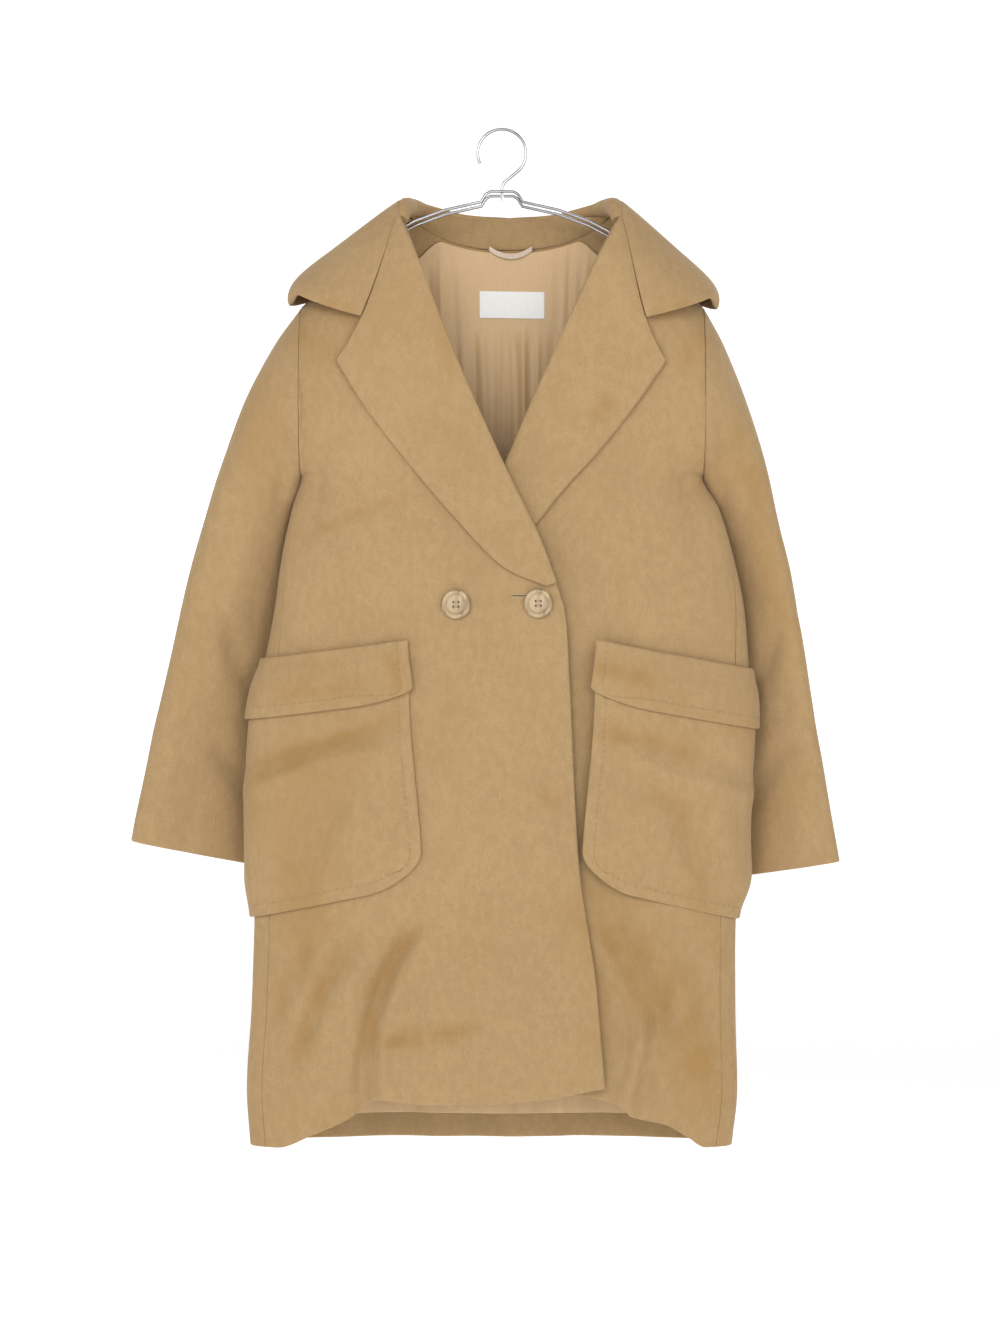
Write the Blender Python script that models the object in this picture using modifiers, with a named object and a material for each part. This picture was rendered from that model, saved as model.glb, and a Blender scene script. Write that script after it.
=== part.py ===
"""A camel wool coat on a twin-wire hanger: cloth walls bent from flat slabs, on one shared body form.

Sizes are in millimetres and become metres where a mesh is made. The origin is the inside crown of
the hanger's hook. +Z is up and the coat faces -Y, so the wearer's right is at -X.
"""

from collections import namedtuple
from functools import lru_cache
from math import acos, asin, ceil, copysign, cos, exp, hypot, pi, radians, sin, sqrt

import bmesh
import bpy
from mathutils import Vector

MM = 0.001
GAP = 0.3
SIDE_SEAM_GAP = 0.5

# Cloth thicknesses
BODY_CLOTH = 2.5
LAPEL_CLOTH = 4.5
COLLAR_CLOTH = 4.5
STAND_CLOTH = 3.0
POCKET_CLOTH = 2.8
FLAP_CLOTH = 4.0
LINING_CLOTH = 1.0
LABEL_CLOTH = 0.6
TAPE_CLOTH = 0.8

# Shoulder line, armhole and neck
ARMHOLE_X = 213.0
SHOULDER_TIP_Z = -189.0
UNDERARM_Z = -367.0
ARMHOLE_DEPTH = 55.0
NECK_Z = -85.0
NECK_LEFT_X = -104.0
NECK_RIGHT_X = 121.0
NECK_BACK_Z = -121.0
NECK_POWER = 2.4
ARMHOLE_RISE = (SHOULDER_TIP_Z - UNDERARM_Z) / 2
ARMHOLE_MID_Z = (SHOULDER_TIP_Z + UNDERARM_Z) / 2
NECK_MID_X = (NECK_LEFT_X + NECK_RIGHT_X) / 2
NECK_HALF = (NECK_RIGHT_X - NECK_LEFT_X) / 2
LEFT_SLOPE = (NECK_Z - SHOULDER_TIP_Z) / (ARMHOLE_X + NECK_LEFT_X)
RIGHT_SLOPE = (NECK_Z - SHOULDER_TIP_Z) / (ARMHOLE_X - NECK_RIGHT_X)

# Body form
HEM_Z = -1076.0
ROUND_POWER = 2.6
UNDERARM_POWER = 2.3
CHEST_POWER = 8.0
ARMHOLE_SPREAD = 10
ROUND_STEADY_Z = -620.0
SEAM_FORWARD = 18.0
SEAM_STEADY_Z = -640.0
UNDER_LAYER = 11.2
UNDER_LAYER_FLAT = 15.0
UNDER_LAYER_RISE = 80.0

# Rows and columns of the cloth meshes, and the angle from which an edge stays sharp
HEM_ROWS = 17
ARM_ROWS = 8
FRONT_COLUMNS = 12
BACK_COLUMNS = 24
NECK_COLUMN = 7
ROW_SPLIT = HEM_ROWS / (HEM_ROWS + ARM_ROWS)
LAPEL_COLUMNS = 6
PATCH_COLUMNS = 12
POCKET_ROWS = 10
FLAP_ROWS = 5
LINING_COLUMNS = 22
LINING_ROWS = 14
LABEL_COLUMNS = 4
LABEL_ROWS = 2
LOOP_COLUMNS = 8
SHARP_ANGLE = 50.0

# Hardware
BUTTON_RADIUS = 15.5
BUTTON_THICK = 5.5
BUTTON_HOLE_RADIUS = 1.3
BUTTON_HOLE_SPREAD = 3.4
BUTTON_TURNS = 20
BUTTON_HOLE_SIDES = 8
ButtonPlace = namedtuple("ButtonPlace", "name x z")
BUTTONS = (
    ButtonPlace("button_show", -48, -504),
    ButtonPlace("button_fastened", 38, -503),
)
# Half a button's outline from the middle of its face, round the rolled rim, to the middle of its foot
RimPoint = namedtuple("RimPoint", "radius height")
BUTTON_PROFILE = (
    RimPoint(0.0, 3.2), RimPoint(9.2, 3.0), RimPoint(10.8, 4.6), RimPoint(13.0, BUTTON_THICK),
    RimPoint(14.8, 4.7), RimPoint(BUTTON_RADIUS, 2.8), RimPoint(14.0, 0.8), RimPoint(9.0, 0.0),
    RimPoint(0.0, 0.0),
)
WIRE_RADIUS = 1.6
WIRE_SPREAD = 17.5
HOOK_RADIUS = 24.0
HOOK_SWEEP = (-55.0, 205.0)
STEM_FOOT_Z = -68.4
CROSSBAR_Z = -70.5
CROSSBAR_PAST = 2.0
WIRE_STEP = 20.0
ARM_END_REACH = 16.0
ARM_END_DROP = 15.0
ARM_END_TURN = 30
HOOK_STEPS = 24
STEM_RISE = 8.0
STEM_BEND = (3.0, 14.0)

Level = namedtuple("Level", "z left_x right_x front back")
BODY_LEVELS = (
    Level(-1076, -267, 244, 47, 62),
    Level(-1017, -271, 250, 48, 62),
    Level(-928, -266, 248, 49, 61),
    Level(-837, -263, 248, 50, 60),
    Level(-790, -269, 259, 51, 60),
    Level(-724, -269, 260, 51, 60),
    Level(-628, -264, 264, 51, 60),
    Level(-562, -251, 261, 51, 60),
    Level(-507, -241, 257, 52, 60),
    Level(-437, -231, 243, 53, 60),
    Level(-402, -223, 231, 54, 59),
    Level(-367, -213, 213, 55, 58),
    Level(-190, -213, 213, 55, 55),
    Level(-60, -213, 213, 55, 55),
)

# Where the front edges and the lapels' roll lines run, from the hem to the neck
Edge = namedtuple("Edge", "z x")
OVER_EDGE = (
    Edge(-1012, 108), Edge(-975, 105), Edge(-895, 98), Edge(-855, 92), Edge(-788, 82), Edge(-714, 77),
    Edge(-585, 71), Edge(-518, 67), Edge(-484, 58), Edge(-431, 39), Edge(-352, 0), Edge(-266, -39),
    Edge(-209, -62), Edge(-98, -104), Edge(-80, -111),
)
UNDER_EDGE = (
    Edge(-1020, -100), Edge(-900, -92), Edge(-714, -77), Edge(-518, -67), Edge(-484, -55),
    Edge(-343, 8), Edge(-240, 55), Edge(-157, 91), Edge(-98, 121), Edge(-80, 130),
)
HemPoint = namedtuple("HemPoint", "x z")
OVER_HEM = (
    HemPoint(-300, -1076), HemPoint(-238, -1076), HemPoint(-200, -1062), HemPoint(-162, -1045),
    HemPoint(-130, -1024), HemPoint(-88, -1029), HemPoint(-25, -1029), HemPoint(47, -1023),
    HemPoint(108, -1012), HemPoint(140, -1008),
)
UNDER_HEM = (
    HemPoint(-120, -1018), HemPoint(69, -1020), HemPoint(124, -1031), HemPoint(136, -1044),
    HemPoint(170, -1051), HemPoint(195, -1064), HemPoint(216, -1076), HemPoint(300, -1076),
)

# Folds fade over these shares of their length past their start and end
FOLD_PAST = 0.3
FOLD_FULL = (0.35, 0.95)
# Soft folds as long ridges (height above 0) and troughs, each between two points of a panel
Fold = namedtuple("Fold", "x0 z0 x1 z1 width height")
FRONT_FOLDS = (
    Fold(-95, -846, -145, -1030, 26, -5.0),
    Fold(-165, -870, -215, -970, 30, 4.0),
    Fold(148, -955, 127, -1030, 24, 5.0),
    Fold(30, -700, 20, -1000, 60, 4.0),
    Fold(-120, -390, -150, -520, 40, 3.0),
    Fold(150, -390, 165, -520, 40, 3.0),
)
BACK_FOLDS = (
    Fold(-95, -560, -120, -1076, 40, 7.0),
    Fold(10, -480, 5, -1076, 46, -6.0),
    Fold(105, -600, 125, -1076, 38, 6.0),
    Fold(-60, -240, -150, -420, 45, -4.0),
    Fold(70, -240, 150, -420, 45, -4.0),
)

# Sleeve rings from the armhole to the cuff, for the wearer's right side
Ring = namedtuple("Ring", "t outer_x outer_y outer_z inner_x inner_y inner_z depth power")
RIGHT_SLEEVE = (
    Ring(0.00, -213, 0, -189, -213, 0, -367, 55, 2.0),
    Ring(0.06, -241, 0, -227, -217, 14, -379, 54, 2.0),
    Ring(0.16, -274, 0, -292, -222, 42, -408, 48, 2.1),
    Ring(0.30, -301, -1, -372, -229, 60, -470, 40, 2.2),
    Ring(0.48, -328, -2, -467, -240, 70, -552, 32, 2.3),
    Ring(0.66, -350, -3, -563, -243, 74, -630, 27, 2.3),
    Ring(0.83, -373, -4, -658, -245, 74, -708, 24, 2.3),
    Ring(1.00, -393, -5, -754, -246, 70, -786, 22, 2.3),
)
LEFT_SLEEVE = (
    Ring(0.00, 213, 0, -189, 213, 0, -367, 55, 2.0),
    Ring(0.06, 234, 0, -227, 219, 16, -381, 54, 2.0),
    Ring(0.16, 260, 0, -292, 229, 49, -412, 45, 2.1),
    Ring(0.30, 284, -1, -372, 236, 74, -480, 33, 2.2),
    Ring(0.48, 305, -1, -467, 228, 82, -565, 23, 2.3),
    Ring(0.66, 321, 0, -563, 220, 84, -643, 20, 2.3),
    Ring(0.83, 337, 0, -668, 220, 84, -722, 19, 2.3),
    Ring(1.00, 358, -2, -776, 214, 78, -801, 20, 2.3),
)
SLEEVE_ROWS = 14
SleeveHalf = namedtuple("SleeveHalf", "name arc columns")
SLEEVE_HALVES = (
    SleeveHalf("top", (52.0, -172.0), 14),
    SleeveHalf("under", (188.0, 52.0), 9),
)
SLEEVE_SEAM_GAP = 0.35

# Lapels: each row runs from the roll line to the outer edge, from the break up to the gorge
LapelRow = namedtuple("LapelRow", "t roll_x roll_z edge_x edge_z")
OVER_LAPEL = (
    LapelRow(0.00, 57, -481, 46, -485),
    LapelRow(0.16, 41, -437, 6, -468),
    LapelRow(0.36, 17, -388, -47, -416),
    LapelRow(0.60, -17, -315, -101, -352),
    LapelRow(0.80, -54, -229, -146, -293),
    LapelRow(1.00, -103, -98, -173, -249),
)
UNDER_LAPEL = (
    LapelRow(0.00, -52, -478, -40, -486),
    LapelRow(0.16, -28, -425, 12, -446),
    LapelRow(0.36, 0, -362, 62, -387),
    LapelRow(0.60, 33, -288, 103, -341),
    LapelRow(0.80, 70, -205, 141, -293),
    LapelRow(1.00, 120, -98, 171, -250),
)
LAPEL_ROWS = 15
LAPEL_BOW = 6.0
LAPEL_LIFT = 2.0
LAPEL_TOP_LIFT = 1.6
OVER_ROLL = 3.0
UNDER_ROLL = 0.6
LAPEL_ROLL_WIDTH = 16.0
LAPEL_TOP_START = 0.6
LAPEL_CROWDING = 1.5
LAPEL_BOW_FADE = 6
BOW_SCALE = 27 / 4

# Collar stations from the centre of the back to the front end. x is the distance from the neck's
# middle, turn the angle over the shoulder line (0 on top, 90 behind), lift the height above the body.
Station = namedtuple("Station", "t fold_x fold_turn fold_lift edge_x edge_turn edge_lift crown")
COLLAR = (
    Station(0.00, 0, 108, 7, 0, 180, 8, 3),
    Station(0.20, 62, 64, 7, 78, 129, 8, 4),
    Station(0.38, 97, 28, 9, 161, 80, 8, 5),
    Station(0.52, 109, 2, 11, 204, 24, 8, 7),
    Station(0.62, 111, -19, 10, 217, 8, 10, 6),
    Station(0.72, 113, -33, 7, 220, -3, 11, 5),
    Station(0.86, 131, -52, 7, 219, -10, 11, 4),
    Station(1.00, 154, -82, 7, 211, -21, 9, 3),
)
GORGE_START = 0.72
NOTCH = 0.70
COLLAR_CORNER = 0.08
COLLAR_ROLL = 13.0
COLLAR_ROLL_AT = 0.17
COLLAR_ROLL_START, COLLAR_ROLL_FULL = 0.25, 0.60
COLLAR_LEFT_REACH = 1.07
COLLAR_RIGHT_REACH = 0.93
COLLAR_COLUMNS = 26
COLLAR_ROWS = 8
STAND_END = 0.50
STAND_IN = 1.3

# Patch pockets and their flaps, in distances from the middle of the coat
POCKET_INNER_TOP_X = 97.0
POCKET_INNER_FOOT_X = 83.0
POCKET_TOP_Z = -590.0
POCKET_FOOT_Z = -797.0
POCKET_CORNER = 0.17
POCKET_LIFT = 2.0
FLAP_INNER_X = 98.0
FLAP_TOP_Z = -541.0
FLAP_FOOT_Z = -604.0
FLAP_CORNER = 0.22
FLAP_LIFT = 5.8
SIDE_WRAP = 4.0
FLAP_FLARE = 6.0
PATCH_SPAN = ARMHOLE_X + 50.0
Pocket = namedtuple("Pocket", "side name flap_slope pocket_slope")
POCKETS = (
    Pocket(-1, "right", 22.0, 36.0),
    Pocket(1, "left", 31.0, 40.0),
)

# Label and hanging loop inside the neck
LABEL_X, LABEL_Z = 11.0, -180.0
LABEL_WIDTH, LABEL_HEIGHT = 70.0, 29.0
LABEL_TILT = 0.015
LOOP_X0, LOOP_X1 = -14.0, 33.0
LOOP_Z = -119.0
LOOP_SAG = 9.0
LOOP_WIDTH = 6.0
LOOP_OFF = 2.5
LINING_HEM_Z = -1050.0
LINING_HALF = 146.0
LINING_IN = 5.4
LINING_LOOSE = 2.0
LINING_LOOSE_Z = -260.0
LINING_FIRM_Z = -150.0
LINING_NECK_DROP = 3.0
LINING_SHOULDER_DROP = 48.0
LINING_NECK_END = (0.64, 1.02)
LINING_HEM_FLARE = 1.32

# Hanger wire from the bump in the middle to the shoulder ends
WirePoint = namedtuple("WirePoint", "x z")
HANGER_ARM = (
    WirePoint(0, -67), WirePoint(12, -67), WirePoint(17, -70), WirePoint(22, -78), WirePoint(60, -86.5),
    WirePoint(92, -98.2), WirePoint(112, -108.5), WirePoint(140, -133.5), WirePoint(165, -157),
    WirePoint(182, -173),
)

Finish = namedtuple("Finish", "red green blue roughness metallic")
CAMEL = Finish(0.479, 0.319, 0.159, 0.92, 0.0)
LINING_TAN = Finish(0.440, 0.300, 0.170, 0.70, 0.0)
LABEL_CREAM = Finish(0.750, 0.730, 0.690, 0.60, 0.0)
SATIN = Finish(0.520, 0.400, 0.280, 0.35, 0.0)
HORN = Finish(0.400, 0.290, 0.160, 0.40, 0.0)
STEEL = Finish(0.750, 0.750, 0.760, 0.18, 1.0)


def clear_scene():
    for obj in list(bpy.data.objects):
        bpy.data.objects.remove(obj, do_unlink=True)


def new_collection(name):
    group = bpy.data.collections.new(name)
    bpy.context.scene.collection.children.link(group)
    return group


def finished(obj, finish):
    """The object with a material of its own."""
    material = bpy.data.materials.new(obj.name)
    material.use_nodes = True
    shader = material.node_tree.nodes["Principled BSDF"]
    shader.inputs["Base Color"].default_value = (finish.red, finish.green, finish.blue, 1)
    shader.inputs["Roughness"].default_value = finish.roughness
    shader.inputs["Metallic"].default_value = finish.metallic
    obj.data.materials.append(material)
    return obj


def mix(a, b, f):
    return a + (b - a) * f


def ease(low, high, value):
    """0 below low, 1 above high, smooth between."""
    f = min(1.0, max(0.0, (value - low) / (high - low)))
    return f * f * (3 - 2 * f)


def along(table, key, column, at):
    """A column's value where the key column is `at`, on a smooth curve through the table's rows."""
    keys = [getattr(row, key) for row in table]
    values = [getattr(row, column) for row in table]
    if keys[0] > keys[-1]:
        keys.reverse()
        values.reverse()
    if at <= keys[0]:
        return values[0]
    if at >= keys[-1]:
        return values[-1]
    last = len(keys) - 1
    i = max(k for k in range(last) if keys[k] <= at)
    steps = [(values[k + 1] - values[k]) / (keys[k + 1] - keys[k]) for k in range(last)]

    def slope(k):
        if k in (0, last):
            return steps[min(k, last - 1)]
        before, after = steps[k - 1], steps[k]
        if before * after <= 0:
            return 0.0
        return 2 * before * after / (before + after)

    width = keys[i + 1] - keys[i]
    f = (at - keys[i]) / width
    start = (1 + 2 * f) * (1 - f) ** 2 * values[i] + f * (1 - f) ** 2 * width * slope(i)
    end = f * f * (3 - 2 * f) * values[i + 1] - f * f * (1 - f) * width * slope(i + 1)
    return start + end


def shoulder_z(x):
    """Height of the shoulder line, carried on past the neck points and the tips."""
    left = NECK_Z - LEFT_SLOPE * (NECK_LEFT_X - x)
    right = NECK_Z - RIGHT_SLOPE * (x - NECK_RIGHT_X)
    return min(left, right)


def neck_z(x):
    """Top edge of the back: the shoulder line, with the neck's dip between the neck points."""
    across = abs(x - NECK_MID_X) / NECK_HALF
    if across >= 1:
        return shoulder_z(x)
    return NECK_Z + (NECK_BACK_Z - NECK_Z) * (1 - across ** NECK_POWER)


def side_depth(z):
    """Half the armhole's opening at a level, nothing below the underarm."""
    if z >= ARMHOLE_MID_Z:
        return ARMHOLE_DEPTH
    drop = (ARMHOLE_MID_Z - z) / ARMHOLE_RISE
    return ARMHOLE_DEPTH * sqrt(max(0.0, 1 - drop * drop))


def shoulder_round(x, z):
    """How far the body has swelled to its full depth below the shoulder line, 0 to 1."""
    drop = min(1.0, max(0.0, (shoulder_z(x) - z) / ARMHOLE_RISE))
    return sqrt(1 - (1 - drop) ** 2)


def folds(table, x, z):
    """Height of a panel's soft folds: each rises to its middle and fades at its ends."""
    total = 0.0
    for fold in table:
        run_x, run_z = fold.x1 - fold.x0, fold.z1 - fold.z0
        length = hypot(run_x, run_z)
        f = ((x - fold.x0) * run_x + (z - fold.z0) * run_z) / length ** 2
        if -FOLD_PAST < f < 1 + FOLD_PAST:
            off = ((x - fold.x0) * run_z - (z - fold.z0) * run_x) / length
            fade = ease(-FOLD_PAST, FOLD_FULL[0], f) * (1 - ease(FOLD_FULL[1], 1 + FOLD_PAST, f))
            total += fold.height * fade * exp(-((off / fold.width) ** 2))
    return total


@lru_cache(maxsize=None)
def section(z):
    """Middle, half width and the two powers of the body's section at a level."""
    left = along(BODY_LEVELS, "z", "left_x", z)
    right = along(BODY_LEVELS, "z", "right_x", z)
    across = mix(ROUND_POWER, UNDERARM_POWER, ease(ROUND_STEADY_Z, UNDERARM_Z, z))
    down = mix(across, CHEST_POWER, ease(UNDERARM_Z, ARMHOLE_MID_Z, z))
    return (left + right) / 2, (right - left) / 2, across, down


def depth(x, z, column):
    """The body's depth ahead of or behind the side line, from the front or back column."""
    middle, half, across, down = section(z)
    u = min(1.0, abs(x - middle) / half)
    crown = max(0.0, 1 - u ** across) ** (1 / down)
    full = along(BODY_LEVELS, "z", column, z) * crown
    full += side_depth(z) * (1 - crown) * u ** ARMHOLE_SPREAD
    table = FRONT_FOLDS if column == "front" else BACK_FOLDS
    return shoulder_round(x, z) * full + folds(table, x, z) * (1 - u ** 6)


def angle_at(x, z):
    """The angle round the section at x on the front, 0 in the middle and a quarter turn at the sides."""
    middle, half, across, _ = section(z)
    u = max(-1.0, min(1.0, (x - middle) / half))
    return copysign(asin(abs(u) ** (across / 2)), u)


def x_at(angle, z):
    middle, half, across, _ = section(z)
    turn = sin(angle)
    return middle + half * copysign(abs(turn) ** (2 / across), turn)


def on_body(angle, z):
    """A point of the body form, by the angle round its section: the front, the sides, then the back."""
    x = x_at(angle, z)
    if abs(angle) <= pi / 2:
        return Vector((x, -depth(x, z, "front"), z))
    return Vector((x, depth(x, z, "back"), z))


def moved_along(angle, z, distance):
    """The angle that lies a small distance further round the body."""
    here = on_body(angle, z)
    low, high = 0.0, 0.2
    for _ in range(30):
        middle = (low + high) / 2
        if (on_body(angle + copysign(middle, distance), z) - here).length < abs(distance):
            low = middle
        else:
            high = middle
    return angle + copysign(low, distance)


@lru_cache(maxsize=None)
def seam_angle(side, z, gap):
    """The side seam's angle, ahead of the side line, with half a seam's gap to the front or the back."""
    forward = SEAM_FORWARD * (1 - ease(SEAM_STEADY_Z, UNDERARM_Z, z))
    middle, half, _, _ = section(z)
    angle = angle_at(middle + side * (half - forward), z)
    if z > UNDERARM_Z + GAP:
        return side * pi / 2
    return moved_along(angle, z, gap)


def row_z(t, hem_z, top_z):
    """Height of a panel's row: even from the hem to the underarm, then round the armhole to the top."""
    if t <= ROW_SPLIT:
        return mix(hem_z, UNDERARM_Z, t / ROW_SPLIT)
    turn = pi * (1 - t) / (1 - ROW_SPLIT)
    return mix(top_z, UNDERARM_Z, (1 - cos(turn)) / 2)


def front_row(x, t, hem):
    return row_z(t, along(hem, "x", "z", x), shoulder_z(x))


@lru_cache(maxsize=None)
def edge_point(edge, hem, t):
    """Where a front panel's row meets the front edge or the roll line."""
    x = along(edge, "z", "x", UNDERARM_Z)
    for _ in range(40):
        z = front_row(x, t, hem)
        x = mix(x, along(edge, "z", "x", z), 0.7)
    return x


def under_depth(x, z):
    """Depth of the under front, which drops behind the over front where they lap."""
    lap = x - along(OVER_EDGE, "z", "x", z)
    layer = UNDER_LAYER * (1 - ease(UNDER_LAYER_FLAT, UNDER_LAYER_FLAT + UNDER_LAYER_RISE, lap))
    swell = shoulder_round(x, z)
    return depth(x, z, "front") - layer * swell


def over_depth(x, z):
    return depth(x, z, "front")


def back_depth(x, z):
    return depth(x, z, "back")


def lifted(x, z, depth_of, facing, distance):
    """A point on a front (facing -1) or the back (1), moved out along the form's normal."""
    step = 0.5
    out = depth_of(x, z)
    slope_x = (depth_of(x + step, z) - depth_of(x - step, z)) / (2 * step)
    slope_z = (depth_of(x, z + step) - depth_of(x, z - step)) / (2 * step)
    normal = Vector((-slope_x, facing, -slope_z)).normalized()
    return Vector((x, facing * out, z)) + normal * distance


def normal_of(surface, s, t):
    """Outward normal of a surface whose s runs right and t runs up, seen from outside."""
    step = 0.002
    t0, t1 = max(0.0, t - step), min(1.0, t + step)
    across = surface(s + step, t) - surface(s - step, t)
    up = surface(s, t1) - surface(s, t0)
    return across.cross(up).normalized()


def cloth(name, group, finish, surface, columns, rows, thickness, trim=None):
    """A closed wall: a flat slab of squares bent so that its outer face lies on the surface."""
    bm = bmesh.new()
    bmesh.ops.create_grid(bm, x_segments=columns, y_segments=rows, size=0.5)
    copied = bmesh.ops.extrude_face_region(bm, geom=bm.faces[:], use_keep_orig=True)
    inner = {item for item in copied["geom"] if isinstance(item, bmesh.types.BMVert)}
    for vert in inner:
        vert.co.z = -1
    bmesh.ops.recalc_face_normals(bm, faces=bm.faces[:])
    for vert in bm.verts:
        s = min(1.0, max(0.0, vert.co.x + 0.5))
        t = min(1.0, max(0.0, vert.co.y + 0.5))
        point = surface(s, t)
        if vert in inner:
            point = point - normal_of(surface, s, t) * thickness
        if trim:
            point = trim(point, s, t)
        vert.co = point * MM
    mesh = bpy.data.meshes.new(name)
    bm.to_mesh(mesh)
    bm.free()
    mesh.shade_smooth()
    mesh.set_sharp_from_angle(angle=radians(SHARP_ANGLE))
    obj = bpy.data.objects.new(name, mesh)
    group.objects.link(obj)
    return finished(obj, finish)


def tube(name, group, finish, points, radius, cyclic=False):
    """A round wire along points, with closed ends."""
    curve = bpy.data.curves.new(name, "CURVE")
    curve.dimensions = "3D"
    curve.bevel_depth = radius * MM
    curve.bevel_resolution = 2
    curve.use_fill_caps = not cyclic
    spline = curve.splines.new("POLY")
    spline.points.add(len(points) - 1)
    for slot, point in zip(spline.points, points):
        slot.co = (*(Vector(point) * MM), 1)
    spline.use_cyclic_u = cyclic
    obj = bpy.data.objects.new(name, curve)
    group.objects.link(obj)
    return finished(obj, finish)


def rounded_corner(s, t, corner):
    """A square's point moved so that the corner at s = 1, t = 0 becomes a quarter circle."""
    across = (s - (1 - corner)) / corner
    down = (corner - t) / corner
    if across <= 0 or down <= 0:
        return s, t
    shrink = max(across, down) / hypot(across, down)
    return 1 - corner + across * shrink * corner, corner - down * shrink * corner


def front_panel(side, edge, hem, depth_of):
    """Surface of a front, from its front edge or roll line to the side seam and armhole."""
    seam_x = side * (ARMHOLE_X + SEAM_FORWARD)

    def surface(s, t):
        inner_x = edge_point(edge, hem, t)
        inner_z = front_row(inner_x, t, hem)
        outer_z = front_row(seam_x if t <= ROW_SPLIT else side * ARMHOLE_X, t, hem)
        f = s if side > 0 else 1 - s
        if t > ROW_SPLIT:
            f = min(f, 1.0)
        angle = mix(angle_at(inner_x, inner_z), seam_angle(side, outer_z, -side * SIDE_SEAM_GAP / 2), f)
        if f > 1:
            return on_body(angle, outer_z)
        x = x_at(angle, mix(inner_z, outer_z, f))
        z = outer_z if f == 1 else front_row(x, t, hem)
        x = x_at(angle, z)
        return Vector((x, -depth_of(x, z), z))

    return surface


def trim_front(point, s, t):
    """Keeps a front inside the armholes' planes and ahead of the shoulder seam."""
    x = max(-ARMHOLE_X, min(ARMHOLE_X, point.x)) if t >= ROW_SPLIT else point.x
    y = min(point.y, -GAP / 2) if t >= 1 else point.y
    return Vector((x, y, point.z))


def back_panel(s, t):
    """Surface of the back, from the left side seam round behind to the right one."""
    low_z = row_z(min(t, ROW_SPLIT), HEM_Z, UNDERARM_Z)
    start = seam_angle(1, low_z, SIDE_SEAM_GAP / 2)
    end = 2 * pi + seam_angle(-1, low_z, -SIDE_SEAM_GAP / 2)
    turn = mix(start, end, s)
    angle = turn if turn <= pi else turn - 2 * pi
    if t <= ROW_SPLIT:
        return on_body(angle, low_z)
    neck = NECK_COLUMN / BACK_COLUMNS
    knots = ((0.0, ARMHOLE_X), (neck, NECK_RIGHT_X), (1 - neck, NECK_LEFT_X), (1.0, -ARMHOLE_X))
    k = max(i for i in range(3) if knots[i][0] <= s or i == 0)
    fitted = mix(knots[k][1], knots[k + 1][1], (s - knots[k][0]) / (knots[k + 1][0] - knots[k][0]))
    x = mix(x_at(angle, UNDERARM_Z), fitted, ease(ROW_SPLIT, 1.0, t))
    z = row_z(t, HEM_Z, neck_z(x))
    return Vector((x, depth(x, z, "back"), z))


def trim_back(point, s, t):
    """Keeps the back inside the armholes' planes and behind the shoulder seam."""
    x = max(-ARMHOLE_X, min(ARMHOLE_X, point.x)) if t >= ROW_SPLIT else point.x
    y = max(point.y, GAP / 2) if t >= 1 else point.y
    return Vector((x, y, point.z))


def ring_point(rings, t, angle):
    """A point of a sleeve: 0 degrees on its outer edge, 90 behind, 180 on its inner edge."""
    outer = Vector([along(rings, "t", name, t) for name in ("outer_x", "outer_y", "outer_z")])
    inner = Vector([along(rings, "t", name, t) for name in ("inner_x", "inner_y", "inner_z")])
    half = (outer - inner) / 2
    behind = Vector((0, 1, 0))
    behind = (behind - half * (behind.dot(half) / half.length_squared)).normalized()
    power = 2 / along(rings, "t", "power", t)
    across = copysign(abs(cos(angle)) ** power, cos(angle))
    back = copysign(abs(sin(angle)) ** power, sin(angle))
    return (outer + inner) / 2 + half * across + behind * along(rings, "t", "depth", t) * back


def sleeve_half(rings, side, arc):
    start, end = (radians(a) for a in arc)
    gap = radians(SLEEVE_SEAM_GAP)
    start, end = (start - gap, end + gap) if start > end else (start + gap, end - gap)

    def surface(s, t):
        f = s if side < 0 else 1 - s
        point = ring_point(rings, 1 - t, mix(start, end, f))
        point.x += side * GAP
        return point

    def trim(point, s, t):
        x = side * max(side * point.x, ARMHOLE_X + GAP)
        return Vector((x, point.y, point.z))

    return surface, trim


def lapel_xz(table, side, t, f):
    """Where a lapel's point lies across its front: f runs from the roll line to the outer edge."""
    bow = side * LAPEL_BOW * BOW_SCALE * f * f * (1 - f) * t ** LAPEL_BOW_FADE
    x = mix(along(table, "t", "roll_x", t), along(table, "t", "edge_x", t), f) - bow
    z = mix(along(table, "t", "roll_z", t), along(table, "t", "edge_z", t), f)
    return x, z


def lapel(table, side, depth_of, roll_height):
    """Surface of a lapel, laid on its front: from its roll line to its outer edge."""

    def surface(s, t):
        f = s if side > 0 else 1 - s
        t = 1 - (1 - t) ** LAPEL_CROWDING
        x, z = lapel_xz(table, side, t, f)
        width = abs(along(table, "t", "roll_x", t) - along(table, "t", "edge_x", t))
        roll = roll_height * exp(-((f * width / LAPEL_ROLL_WIDTH) ** 2))
        lift = LAPEL_LIFT + LAPEL_TOP_LIFT * ease(LAPEL_TOP_START, 1.0, t)
        return lifted(x, z, depth_of, -1, lift + LAPEL_CLOTH + roll)

    return surface


def collar_x(from_middle, side):
    """World x of a collar distance, with the reach past the neck point stretched for each side."""
    reach = COLLAR_LEFT_REACH if side < 0 else COLLAR_RIGHT_REACH
    past = max(0.0, from_middle - NECK_HALF) * reach
    return NECK_MID_X + side * (min(from_middle, NECK_HALF) + past)


def collar_at(s):
    """Which side of the collar and how far towards its front end."""
    side = 1 if s < 0.5 else -1
    return side, abs(1 - 2 * s)


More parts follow.
